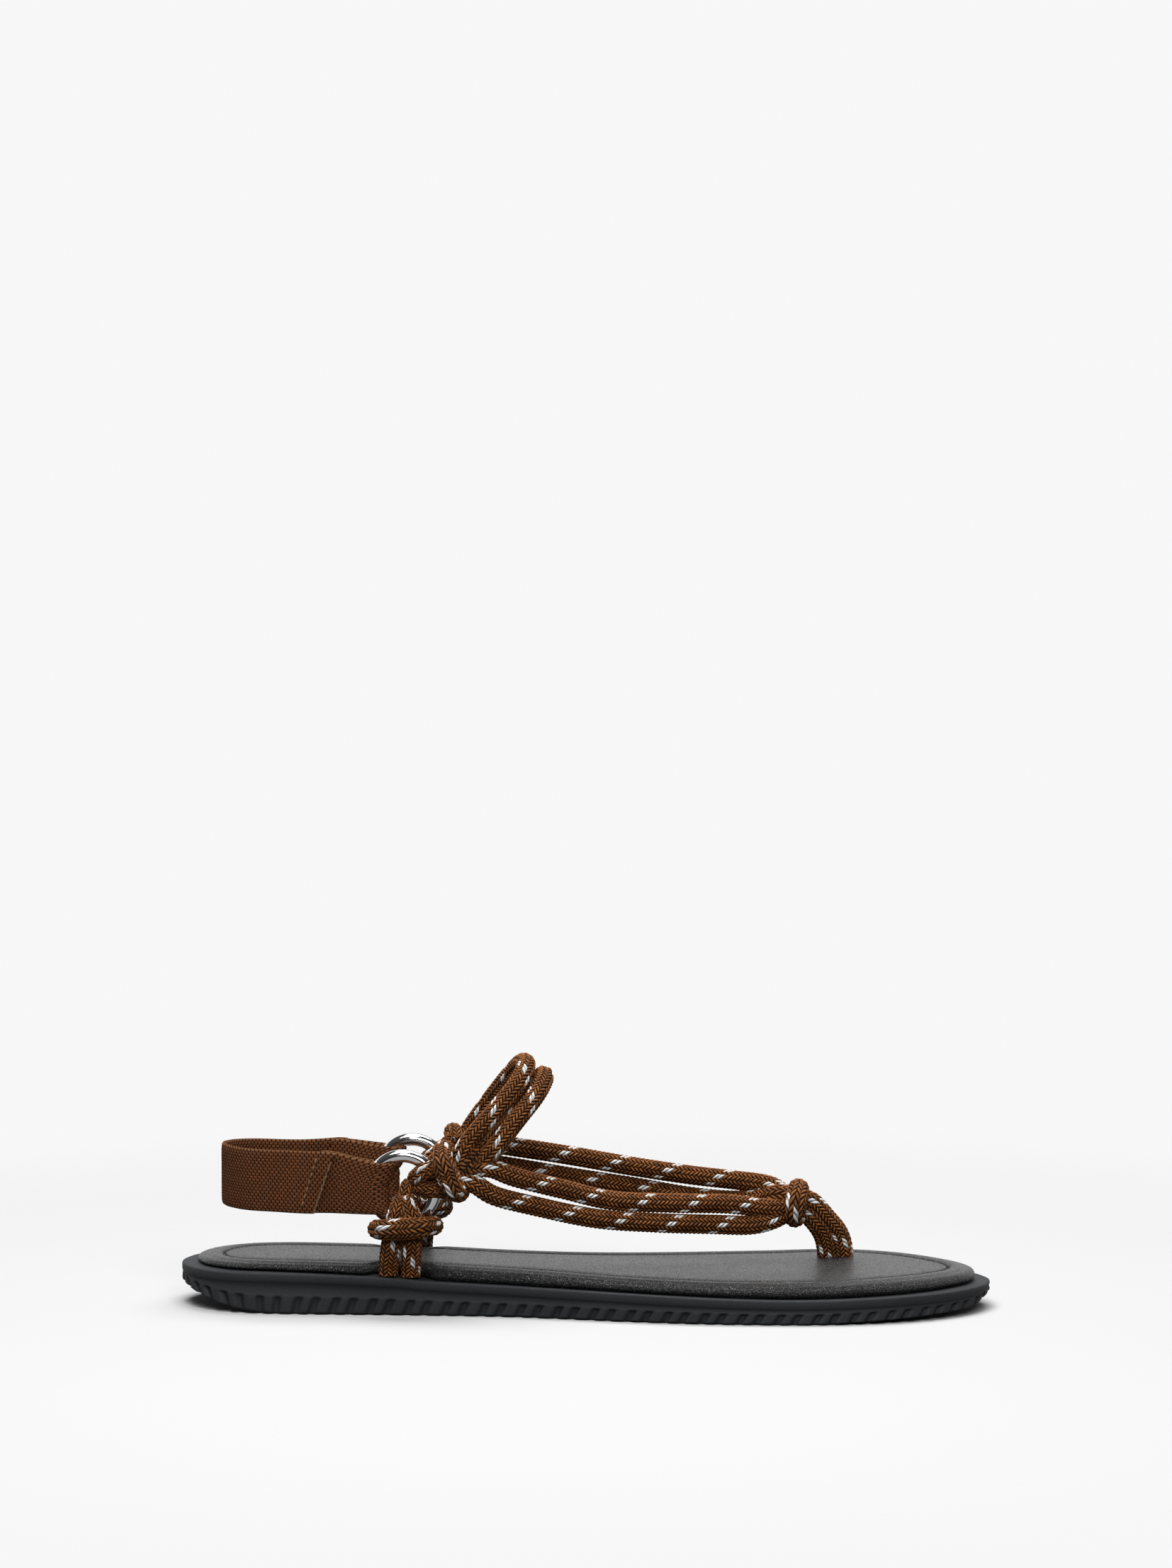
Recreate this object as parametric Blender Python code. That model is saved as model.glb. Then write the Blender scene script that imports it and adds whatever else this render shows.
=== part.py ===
"""Rope sandal for the right foot.

+X points to the toe, +Y to the inner side of the foot and +Z up. The outsole rests on Z = 0 and the
origin lies below the middle of its length. Tables hold shares: along is of SOLE_LENGTH from the heel
tip, across of half the ball width (inner side positive), and up of INSTEP_HEIGHT.
"""
import math

import bmesh
import bpy
import numpy as np
from mathutils import Matrix, Vector

# Sole
SOLE_LENGTH = 0.262
BALL_WIDTH = 0.0864
SOLE_THICKNESS = 0.0132
TOE_SPRING = 0.0024
HEEL_ROUND_LENGTH = 0.034
HEEL_ROUND_HEIGHT = 0.0076
TOE_ROUND_LENGTH = 0.008
TOE_ROUND_HEIGHT = 0.0030
SPRING_START = 0.78
SPRING_CURVE = 1.3
TOE_TIP_ACROSS = 0.02
TREAD_INSET = 0.0030
EDGE_ROUND = 0.0006
BAND_HEIGHT = 0.0030
BAND_STEP = 0.0004
GROOVE_PITCH = 0.0060
GROOVE_WIDTH = 0.0028
GROOVE_DEPTH = 0.0013
GROOVE_SHARE = 0.45
GROOVE_PAIRING = 0.05
GROOVE_SLANT = 0.0022
SLANT_TURN = 0.10
SLANT_TURN_LENGTH = 0.06

# Footbed
FOOTBED_THICKNESS = 0.0041
FOOTBED_ROLL = 0.0032
FOOTBED_SEGMENTS = 46

# Rope, rings and webbing
ROPE_RADIUS = 0.0030
HITCH_RADIUS = 0.0026
BAR_RADIUS = 0.0034
WIRE_RADIUS = 0.0021
RING_RADIUS = 0.0104
RING_ALONG = 0.2805
RING_ACROSS = 0.465
RING_HEIGHT = 0.0400
INSTEP_HEIGHT = 0.0800
ANCHOR_ANGLE = math.radians(-86.0)
ANCHOR_BAR_REACH = 0.0118
FRONT_ANGLE = math.radians(20.0)
FRONT_BAR_REACH = 0.0160
STRAND_ANGLE = math.radians(18.0)
BAR_HALF = 0.0077
FRONT_BAR_HALF = 0.0062
ANCHOR_SPREAD = 0.0036
ANCHOR_SHIFT = 0.0014
LEG_OUT = 0.0006
LEG_BULGE = 0.0008
LEG_SWELL = 1.03
STRAND_PAST = 0.0010
STRAND_SPREAD = 0.0058
POCKET_HALF = 0.0125
POCKET_DEPTH = 0.0066
STRAP_WIDTH = 0.0200
STRAP_THICKNESS = 0.0015
FOLD_WIDTH = 0.0120
FOLD_REACH = 0.0130
STRAP_HEIGHT = 0.0420
TAB_END = 0.183
TAB_SLOPE = 0.0032
CLEARANCE = 0.0003

ROPE_STEP = 0.0060
HITCH_STEP = 0.0026
BAR_STEP = 0.0036
ROPE_SIDES = 8
LINE_STEPS = 10

# Outline of the outsole: lateral and medial are shares of half the ball width
OUTLINE = (
    # along, lateral, medial
    (0.009, 0.255, 0.255),
    (0.031, 0.455, 0.450),
    (0.069, 0.605, 0.595),
    (0.122, 0.658, 0.640),
    (0.198, 0.670, 0.615),
    (0.305, 0.680, 0.560),
    (0.400, 0.710, 0.525),
    (0.477, 0.790, 0.560),
    (0.565, 0.905, 0.700),
    (0.649, 0.980, 0.840),
    (0.725, 1.000, 0.950),
    (0.782, 0.990, 1.000),
    (0.840, 0.935, 0.955),
    (0.897, 0.815, 0.795),
    (0.943, 0.635, 0.605),
    (0.976, 0.420, 0.400),
    (0.994, 0.205, 0.200),
)

# Wall is a share of SOLE_THICKNESS, padding of FOOTBED_THICKNESS, inset in shares of FOOTBED_ROLL
LEVELS = (
    # along, wall, padding, inset
    (0.000, 1.000, 0.62, 1.62),
    (0.140, 1.000, 0.66, 0.90),
    (0.270, 0.915, 0.85, 0.55),
    (0.320, 0.835, 1.05, 0.55),
    (0.440, 0.745, 1.05, 0.55),
    (0.560, 0.690, 0.92, 0.55),
    (0.700, 0.620, 1.00, 0.60),
    (0.785, 0.610, 1.08, 0.65),
    (0.890, 0.645, 1.10, 1.00),
    (0.960, 0.655, 1.05, 1.45),
    (1.000, 0.655, 1.00, 1.55),
)

# Rolled edge of the footbed
ROLL = (
    # inset as a share of FOOTBED_ROLL, height as a share of the padding
    (0.30, 0.00),
    (0.00, 0.25),
    (0.04, 0.60),
    (0.35, 0.88),
    (1.00, 1.00),
)

# Strands of the upper, from the hitch on each ring to the knot between the toes
STRANDS = {
    "lateral_high": (
        # along, across, up
        (0.350, -0.442, 0.575),
        (0.386, -0.477, 0.585),
        (0.418, -0.419, 0.543),
        (0.477, -0.279, 0.484),
        (0.536, -0.140, 0.430),
        (0.607, 0.023, 0.409),
        (0.678, 0.174, 0.395),
        (0.726, 0.279, 0.370),
        (0.754, 0.360, 0.375),
    ),
    "lateral_low": (
        (0.350, -0.465, 0.542),
        (0.370, -0.500, 0.519),
        (0.394, -0.477, 0.471),
        (0.442, -0.384, 0.424),
        (0.513, -0.233, 0.365),
        (0.584, -0.070, 0.336),
        (0.655, 0.093, 0.318),
        (0.702, 0.198, 0.308),
        (0.730, 0.279, 0.323),
        (0.747, 0.349, 0.350),
        (0.758, 0.395, 0.381),
    ),
    "medial_high": (
        (0.350, 0.420, 0.585),
        (0.378, 0.442, 0.612),
        (0.422, 0.488, 0.593),
        (0.482, 0.570, 0.557),
        (0.554, 0.616, 0.514),
        (0.626, 0.605, 0.481),
        (0.684, 0.535, 0.466),
        (0.724, 0.465, 0.453),
        (0.745, 0.407, 0.420),
    ),
    "medial_low": (
        (0.347, 0.430, 0.549),
        (0.369, 0.465, 0.535),
        (0.410, 0.512, 0.512),
        (0.482, 0.605, 0.466),
        (0.553, 0.651, 0.428),
        (0.626, 0.628, 0.391),
        (0.680, 0.547, 0.383),
        (0.716, 0.442, 0.402),
        (0.738, 0.372, 0.423),
        (0.756, 0.384, 0.411),
    ),
    "ankle_back": (
        (0.346, -0.453, 0.582),
        (0.361, -0.477, 0.686),
        (0.393, -0.415, 0.806),
        (0.418, -0.285, 0.905),
        (0.427, -0.140, 0.960),
        (0.426, 0.000, 0.978),
        (0.417, 0.140, 0.958),
        (0.392, 0.335, 0.855),
        (0.361, 0.442, 0.715),
        (0.348, 0.465, 0.640),
        (0.346, 0.453, 0.563),
    ),
    "ankle_front": (
        (0.370, -0.453, 0.576),
        (0.393, -0.477, 0.663),
        (0.418, -0.410, 0.768),
        (0.440, -0.275, 0.857),
        (0.449, -0.135, 0.908),
        (0.449, 0.000, 0.926),
        (0.444, 0.135, 0.908),
        (0.424, 0.315, 0.808),
        (0.396, 0.425, 0.690),
        (0.376, 0.450, 0.620),
        (0.368, 0.440, 0.570),
    ),
}

POST_STRANDS = (
    # along, across, up; the last row is the foot of the strand, in the footbed's slot
    (
        (0.757, 0.407, 0.409),
        (0.779, 0.419, 0.388),
        (0.798, 0.453, 0.319),
        (0.812, 0.477, 0.259),
        (0.818, 0.485, 0.194),
        (0.819, 0.485, 0.148),
    ),
    (
        (0.752, 0.395, 0.387),
        (0.772, 0.407, 0.340),
        (0.784, 0.430, 0.297),
        (0.793, 0.465, 0.245),
        (0.797, 0.483, 0.183),
        (0.797, 0.485, 0.148),
    ),
)

# Half of a hitch's bar, from its end behind the ring to its middle in front: past is a share of
# BAR_RADIUS beyond the bar's line, reach of half the bar's length, height of the wrap's distance from the ring
HITCH_BAR = (
    # past, reach, height, thick
    (0.294, 0.70, -1.00, 0.765),
    (0.353, 1.12, -0.30, 0.822),
    (0.176, 1.16, 0.55, 0.880),
    (0.000, 0.72, 1.88, 0.940),
    (0.000, 0.00, 2.00, 1.000),
)

# Middle of the sewn patch that holds the ankle loops together, and half sizes of the pressed rope
PATCH = (0.362, 0.460, 0.600)
PATCH_LEAN = math.radians(-35.0)
PATCH_SIZES = (0.0057, 0.0032, 0.0075)
KNOT_CORE = (0.0045, 0.0042, 0.0042)
HITCH_CORE = (0.0033, 0.0034, 0.0056)
CORE_LIFT = 0.0010

# The loop that ties the strands between the toes
KNOT = (
    # along, across, up
    (0.759, 0.470, 0.345),
    (0.761, 0.500, 0.395),
    (0.762, 0.440, 0.436),
    (0.762, 0.330, 0.436),
    (0.759, 0.250, 0.400),
    (0.758, 0.265, 0.350),
    (0.758, 0.350, 0.322),
    (0.758, 0.430, 0.325),
)

# Half of the heel strap's line as seen from above, from the ring to the back of the heel
STRAP_LINE = (
    # along, across
    (0.241, 0.465),
    (0.190, 0.505),
    (0.135, 0.500),
    (0.090, 0.420),
    (0.062, 0.250),
    (0.050, 0.080),
    (0.0485, 0.000),
)

MATERIALS = {
    "rubber": ((0.020, 0.022, 0.024, 1.0), 0.62, 0.0),
    "leather": ((0.030, 0.030, 0.031, 1.0), 0.42, 0.0),
    "rope": ((0.185, 0.085, 0.035, 1.0), 0.80, 0.0),
    "steel": ((0.780, 0.780, 0.790, 1.0), 0.12, 1.0),
    "webbing": ((0.120, 0.050, 0.025, 1.0), 0.85, 0.0),
}


def clear_scene():
    for old in list(bpy.data.objects):
        bpy.data.objects.remove(old, do_unlink=True)


def material(name):
    color, roughness, metallic = MATERIALS[name]
    made = bpy.data.materials.new(name)
    made.use_nodes = True
    shader = made.node_tree.nodes["Principled BSDF"]
    shader.inputs["Base Color"].default_value = color
    shader.inputs["Roughness"].default_value = roughness
    shader.inputs["Metallic"].default_value = metallic
    return made


def add_mesh(name, vertices, faces, finish, smooth=True):
    mesh = bpy.data.meshes.new(name)
    mesh.from_pydata([tuple(v) for v in vertices], [], faces)
    mesh.materials.append(finish)
    shell = bmesh.new()
    shell.from_mesh(mesh)
    bmesh.ops.recalc_face_normals(shell, faces=shell.faces)
    for face in shell.faces:
        face.smooth = smooth
    shell.to_mesh(mesh)
    shell.free()
    made = bpy.data.objects.new(name, mesh)
    bpy.context.scene.collection.objects.link(made)
    return made


def resample(points, count):
    """The same line with count equal steps; every column is carried along."""
    steps = np.linalg.norm(np.diff(points[:, :3], axis=0), axis=1)
    travelled = np.concatenate([[0.0], np.cumsum(steps)])
    wanted = np.linspace(0.0, travelled[-1], count + 1)
    return np.column_stack([np.interp(wanted, travelled, column) for column in points.T])


def smooth_line(rows):
    """A fine line on a smooth curve through the rows."""
    rows = np.asarray(rows, float)
    ends = np.vstack([2 * rows[0] - rows[1], rows, 2 * rows[-1] - rows[-2]])
    fine = []
    for before, start, end, after in zip(ends, ends[1:], ends[2:], ends[3:]):
        for t in np.linspace(0.0, 1.0, LINE_STEPS, endpoint=False):
            fine.append(0.5 * (
                2 * start
                + (end - before) * t
                + (2 * before - 5 * start + 4 * end - after) * t**2
                + (3 * start - before - 3 * end + after) * t**3
            ))
    fine.append(rows[-1])
    return np.array(fine)


def smooth_path(rows, step):
    line = smooth_line(rows)
    length = np.linalg.norm(np.diff(line[:, :3], axis=0), axis=1).sum()
    return resample(line, max(2, round(length / step)))


def place(along, across, up):
    """World point of a row of shares."""
    return ((along - 0.5) * SOLE_LENGTH, across * BALL_WIDTH / 2, up * INSTEP_HEIGHT)


def along_of(x):
    return x / SOLE_LENGTH + 0.5


def level(column, x):
    """A column of LEVELS at x, read from a smooth curve."""
    line = smooth_line([(row[0], row[column]) for row in LEVELS])
    return np.interp(along_of(x), line[:, 0], line[:, 1])


def side_line(column):
    """Fine edge of the outsole from heel tip to toe tip: column 1 is lateral, 2 is medial."""
    sign = -1.0 if column == 1 else 1.0
    rows = [(row[0], sign * row[column]) for row in OUTLINE]
    ends = [(0.0, 0.0)] + rows + [(1.0, TOE_TIP_ACROSS)]
    mirror_heel = (rows[0][0], -rows[0][1])
    mirror_toe = (rows[-1][0], -rows[-1][1])
    line = smooth_line([mirror_heel] + ends + [mirror_toe])[LINE_STEPS:-LINE_STEPS]
    return np.column_stack([
        (line[:, 0] - 0.5) * SOLE_LENGTH,
        line[:, 1] * BALL_WIDTH / 2,
        np.zeros(len(line)),
    ])


class Edge:
    """The outsole's edge as a closed line, with its outward direction at any place."""

    def __init__(self):
        lateral = side_line(1)
        medial = side_line(2)[::-1]
        self.half = self.length_of(lateral)
        self.line = np.vstack([lateral, medial[1:]])
        steps = np.linalg.norm(np.diff(self.line, axis=0), axis=1)
        self.travelled = np.concatenate([[0.0], np.cumsum(steps)])
        self.total = self.travelled[-1]

    @staticmethod
    def length_of(line):
        return np.linalg.norm(np.diff(line, axis=0), axis=1).sum()

    def at(self, s):
        s = s % self.total
        return np.array([np.interp(s, self.travelled, self.line[:, i]) for i in (0, 1)])

    def outward(self, s):
        way = self.at(s + 0.001) - self.at(s - 0.001)
        way /= np.linalg.norm(way)
        return np.array([way[1], -way[0]])

    def stations(self, per_side):
        """Places along the line, the same number on each side, starting at the heel tip."""
        lateral = np.linspace(0.0, self.half, per_side, endpoint=False)
        medial = np.linspace(self.half, self.total, per_side, endpoint=False)
        return np.concatenate([lateral, medial])


def underside(x):
    """Height of the sole's underside over the ground."""
    from_heel = x + SOLE_LENGTH / 2
    from_toe = SOLE_LENGTH / 2 - x
    heel = HEEL_ROUND_HEIGHT * max(0.0, 1 - from_heel / HEEL_ROUND_LENGTH) ** 2
    start = SPRING_START * SOLE_LENGTH
    spring = TOE_SPRING * max(0.0, (from_heel - start) / (SOLE_LENGTH - start)) ** SPRING_CURVE
    tip = TOE_ROUND_HEIGHT * max(0.0, 1 - from_toe / TOE_ROUND_LENGTH) ** 2
    return heel + spring + tip


def outsole_top(x):
    return SOLE_THICKNESS * level(1, x)


def footbed_top(x):
    return outsole_top(x) + FOOTBED_THICKNESS * level(2, x)


def loop_mesh(loops, cap_pairs):
    """Faces between loops, where a loop has as many points as its neighbour or a whole multiple."""
    vertices, starts, faces = [], [], []
    for loop in loops:
        starts.append(len(vertices))
        vertices.extend(loop)
    for a, b in zip(range(len(loops)), range(1, len(loops))):
        low, high = loops[a], loops[b]
        count = min(len(low), len(high))
        low_rate, high_rate = len(low) // count, len(high) // count
        for i in range(count):
            below = [starts[a] + (i * low_rate + k) % len(low) for k in range(low_rate + 1)]
            above = [starts[b] + (i * high_rate + k) % len(high) for k in range(high_rate + 1)]
            if low_rate == high_rate == 1:
                faces.append((below[0], below[1], above[1], above[0]))
            elif high_rate > 1:
                middle = high_rate // 2
                faces += [(below[0], above[k + 1], above[k]) for k in range(middle)]
                faces.append((below[0], below[1], above[middle]))
                faces += [(below[1], above[k + 1], above[k]) for k in range(middle, high_rate)]
            else:
                middle = low_rate // 2
                faces += [(below[k], below[k + 1], above[0]) for k in range(middle)]
                faces.append((below[middle], above[1], above[0]))
                faces += [(below[k], below[k + 1], above[1]) for k in range(middle, low_rate)]
    for start, per_side, flip in ((starts[0], cap_pairs[0], True), (starts[-1], cap_pairs[1], False)):
        count = 2 * per_side
        for i in range(per_side):
            ring = [start + i, start + i + 1, start + (count - i - 1) % count, start + (count - i) % count]
            ring = list(dict.fromkeys(ring))
            faces.append(tuple(ring[::-1] if flip else ring))
    return vertices, faces


def edge_loop(edge, stations, inset, height):
    """One loop at an inset from the outsole's edge; inset and height are functions of x."""
    loop = []
    for s in stations:
        point = edge.at(s)
        point = point - edge.outward(s) * inset(point[0])
        loop.append((point[0], point[1], height(point[0])))
    return loop


def make_outsole(edge, finish):
    per_side = round(edge.half / GROOVE_PITCH)
    stations = edge.stations(per_side)
    pitch = stations[1] - stations[0]

    def groove_top(x):
        return underside(x) + GROOVE_SHARE * (outsole_top(x) - underside(x))

    def slanted(share, depth_offset, height):
        """A loop of three points to a groove: its two lips and its bottom."""
        loop = []
        for i, s in enumerate(stations):
            pairing = GROOVE_PAIRING * pitch * (1 if i % 2 else -1)
            x = edge.at(s)[0]
            lean = np.clip((along_of(x) - SLANT_TURN) / SLANT_TURN_LENGTH, -1.0, 1.0)
            forward = 1.0 if s < edge.half else -1.0
            here = s + pairing + share * forward * lean * GROOVE_SLANT
            for offset, depth in ((0.0, 0.0), (0.5, GROOVE_DEPTH), (1.0, 0.0)):
                place_on = here + offset * GROOVE_WIDTH
                point = edge.at(place_on)
                point = point - edge.outward(place_on) * (depth + depth_offset)
                loop.append((point[0], point[1], height(point[0])))
        return loop

    def band_bottom(x):
        return max(outsole_top(x) - BAND_HEIGHT, groove_top(x) + EDGE_ROUND)

    loops = [
        edge_loop(edge, stations, lambda x: TREAD_INSET, underside),
        slanted(-0.5, EDGE_ROUND, lambda x: underside(x) + EDGE_ROUND),
        slanted(0.5, 0.0, groove_top),
        edge_loop(edge, stations, lambda x: BAND_STEP / 2, lambda x: groove_top(x) + EDGE_ROUND / 2),
        edge_loop(edge, stations, lambda x: BAND_STEP, band_bottom),
        edge_loop(edge, stations, lambda x: 0.0, lambda x: band_bottom(x) + BAND_STEP),
        edge_loop(edge, stations, lambda x: 0.0, lambda x: outsole_top(x) - EDGE_ROUND),
        edge_loop(edge, stations, lambda x: EDGE_ROUND, outsole_top),
    ]
    vertices, faces = loop_mesh(loops, (per_side, per_side))
    return add_mesh("outsole", vertices, faces, finish, smooth=False)


def anchor_x():
    """Middle between the two legs of an anchor."""
    return place(RING_ALONG, 0, 0)[0] + RING_RADIUS * math.cos(ANCHOR_ANGLE) - ANCHOR_SHIFT


def make_footbed(edge, finish):
    stations = edge.stations(FOOTBED_SEGMENTS)
    pockets = anchor_x()

    def inset_at(extra):
        def inset(x):
            near = abs(x - pockets) / POCKET_HALF
            pocket = POCKET_DEPTH * (0.5 + 0.5 * math.cos(math.pi * min(near**2, 1.0)))
            return FOOTBED_ROLL * level(3, x) + extra + pocket
        return inset

    def height(share):
        def at(x):
            bottom = outsole_top(x) + CLEARANCE
            return bottom + share * (footbed_top(x) - bottom)
        return at

    loops = [edge_loop(edge, stations, inset_at(FOOTBED_ROLL * i), height(h)) for i, h in ROLL]
    vertices, faces = loop_mesh(loops, (FOOTBED_SEGMENTS, FOOTBED_SEGMENTS))
    footbed = add_mesh("footbed", vertices, faces, finish)
    slot = footbed.modifiers.new("toe_slot", "BOOLEAN")
    slot.operation = "DIFFERENCE"
    slot.object = make_slot_cutter(finish)
    return footbed


def make_slot_cutter(finish):
    """A long round-ended block around the foot of the two toe strands."""
    feet = [np.array(place(*strand[-1])) for strand in POST_STRANDS]
    radius = ROPE_RADIUS + CLEARANCE
    rear, front = sorted(feet, key=lambda foot: foot[0])
    ring = []
    for centre, start in ((front, -90.0), (rear, 90.0)):
        for turn in np.linspace(start, start + 180.0, 7):
            angle = math.radians(turn)
            ring.append((centre[0] + radius * math.cos(angle), centre[1] + radius * math.sin(angle)))
    count = len(ring)
    low, high = 0.0, 2 * SOLE_THICKNESS
    vertices = [(x, y, low) for x, y in ring] + [(x, y, high) for x, y in ring]
    faces = [tuple(reversed(range(count))), tuple(range(count, 2 * count))]
    faces += [(i, (i + 1) % count, count + (i + 1) % count, count + i) for i in range(count)]
    return as_tool(add_mesh("slot_cutter", vertices, faces, finish))


def as_tool(tool):
    tool.hide_render = True
    tool.display_type = "WIRE"
    return tool


def tube(name, path, finish, sides=ROPE_SIDES):
    """A round rope along a path of rows x, y, z, radius, with flat ends."""
    points, radii = path[:, :3], path[:, 3]
    ways = np.gradient(points, axis=0)
    ways /= np.linalg.norm(ways, axis=1)[:, None]
    side = np.cross(ways[0], (0.0, 0.3, 1.0))
    vertices = []
    for point, way, radius in zip(points, ways, radii):
        side = side - way * side.dot(way)
        side /= np.linalg.norm(side)
        other = np.cross(way, side)
        for i in range(sides):
            angle = 2 * math.pi * i / sides
            vertices.append(point + radius * (math.cos(angle) * side + math.sin(angle) * other))
    faces = []
    for ring in range(len(points) - 1):
        for i in range(sides):
            a, b = ring * sides + i, ring * sides + (i + 1) % sides
            faces.append((a, b, b + sides, a + sides))
    faces.append(tuple(reversed(range(sides))))
    last = (len(points) - 1) * sides
    faces.append(tuple(range(last, last + sides)))
    return add_mesh(name, vertices, faces, finish)


def union(name, pieces):
    """All pieces as one solid: the first takes the others in by a Boolean."""
    whole, others = pieces[0], pieces[1:]
    whole.name = name
    group = bpy.data.collections.new(name + "_parts")
    bpy.context.scene.collection.children.link(group)
    for piece in others:
        bpy.context.scene.collection.objects.unlink(piece)
        group.objects.link(as_tool(piece))
    joined = whole.modifiers.new("joined", "BOOLEAN")
    joined.operation = "UNION"
    joined.operand_type = "COLLECTION"
    joined.collection = group
    return whole


def filler(name, centre, half_sizes, turn, finish):
    """An egg of pressed rope where strands meet, turned about Y, so that no hollow is left between them."""
    shape = bmesh.new()
    bmesh.ops.create_icosphere(shape, subdivisions=2, radius=1.0)
    placing = Matrix.Translation(Vector(centre)) @ Matrix.Rotation(-turn, 4, "Y")
    placing = placing @ Matrix.Diagonal((*half_sizes, 1.0))
    shape.transform(placing)
    vertices = [tuple(v.co) for v in shape.verts]
    faces = [tuple(v.index for v in face.verts) for face in shape.faces]
    shape.free()
    return add_mesh(name, vertices, faces, finish)


def ring_centre(side):
    x, y, _ = place(RING_ALONG, side * RING_ACROSS, 0.0)
    return np.array([x, y, RING_HEIGHT])


def make_ring(name, side, finish):
    bpy.ops.mesh.primitive_torus_add(
        major_radius=RING_RADIUS,
        minor_radius=WIRE_RADIUS,
        major_segments=28,
        minor_segments=8,
        location=ring_centre(side),
        rotation=(math.pi / 2, 0.0, 0.0),
    )
    ring = bpy.context.object
    ring.name = name
    ring.data.name = name
    ring.data.materials.append(finish)
    for polygon in ring.data.polygons:
        polygon.use_smooth = True
    return ring


def hitch(name, side, angle, bar_reach, bar_half, finish):
    """A rope looped on a ring: two strands over the wire, and the bar that holds them down."""
    centre = ring_centre(side)
    out = np.array([0.0, side, 0.0])
    axis = np.array([math.cos(angle), 0.0, math.sin(angle)])
    across = np.array([-math.sin(angle), 0.0, math.cos(angle)])
    wrap = WIRE_RADIUS + CLEARANCE * 1.5 + HITCH_RADIUS
    pieces = []
    for hand in (-1, 1):
        turn = angle + hand * STRAND_ANGLE
        ray = np.array([math.cos(turn), 0.0, math.sin(turn)])
        wire = centre + RING_RADIUS * ray
        rows = [wire + out * wrap + axis * (bar_reach - RING_RADIUS + HITCH_RADIUS)]
        for bend in np.linspace(0.0, math.pi, 9):
            rows.append(wire + wrap * (math.cos(bend) * out - math.sin(bend) * ray))
        rows.append(centre - out * wrap + axis * (bar_reach + STRAND_PAST) + across * hand * STRAND_SPREAD)
        path = np.column_stack([rows, np.full(len(rows), HITCH_RADIUS)])
        pieces.append(tube(f"{name}_strand", smooth_path(path, HITCH_STEP), finish))
    half = []
    for past, reach, height, thick in HITCH_BAR:
        middle = centre + axis * (bar_reach + past * BAR_RADIUS) + out * height * wrap
        half.append((middle, across * reach * bar_half, thick * BAR_RADIUS))
    rows = [(*(middle - shift), radius) for middle, shift, radius in half]
    rows += [(*(middle + shift), radius) for middle, shift, radius in half[-2::-1]]
    pieces.append(tube(f"{name}_bar", smooth_path(rows, BAR_STEP), finish))
    core = centre + axis * bar_reach + out * (wrap + CORE_LIFT)
    pieces.append(filler(f"{name}_core", core, HITCH_CORE, angle, finish))
    return pieces


def make_anchor(name, side, finish):
    """The short rope on a ring's bottom, whose two ends run down beside the footbed."""
    pieces = hitch(name, side, ANCHOR_ANGLE, ANCHOR_BAR_REACH, BAR_HALF, finish)
    centre = ring_centre(side)
    wrap = WIRE_RADIUS + CLEARANCE + HITCH_RADIUS
    foot_y = side * (abs(centre[1]) + wrap + LEG_OUT)
    for hand in (-1, 1):
        turn = ANCHOR_ANGLE + hand * STRAND_ANGLE
        top = centre + RING_RADIUS * np.array([math.cos(turn), 0.0, math.sin(turn)])
        top = top + np.array([0.0, side * wrap, 0.0])
        x = anchor_x() + hand * ANCHOR_SPREAD
        foot = np.array([x, foot_y, outsole_top(x - ROPE_RADIUS) + CLEARANCE])
        heel = foot + np.array([0.0, 0.0, ROPE_RADIUS])
        middle = 0.5 * (top + heel) + np.array([0.0, side * LEG_BULGE, 0.0])
        radii = (HITCH_RADIUS, ROPE_RADIUS * LEG_SWELL, ROPE_RADIUS * LEG_SWELL, ROPE_RADIUS)
        rows = np.column_stack([(top, middle, heel, foot), radii])
        pieces.append(tube(f"{name}_leg", smooth_path(rows, ROPE_STEP), finish))
    return union(name, pieces)


def rope_rows(rows, radius=ROPE_RADIUS):
    return [(*place(*row), radius) for row in rows]


def make_upper(finish):
    pieces = []
    for name, rows in STRANDS.items():
        pieces.append(tube(name, smooth_path(rope_rows(rows), ROPE_STEP), finish))
    for rows in POST_STRANDS:
        strand = rope_rows(rows)
        x, y, _, radius = strand[-1]
        strand[-1] = (x, y, outsole_top(x) + CLEARANCE, radius)
        pieces.append(tube("post", smooth_path(strand, ROPE_STEP), finish))
    pieces.append(tube("knot", smooth_path(rope_rows(KNOT), BAR_STEP), finish))
    knot_middle = np.mean([place(*row) for row in KNOT], axis=0)
    pieces.append(filler("knot_core", knot_middle, KNOT_CORE, 0.0, finish))
    for side in (-1, 1):
        pieces += hitch(f"front_{side}", side, FRONT_ANGLE, FRONT_BAR_REACH, FRONT_BAR_HALF, finish)
        pieces += make_sewn_ends(side, finish)
    return union("rope_upper", pieces)


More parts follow.
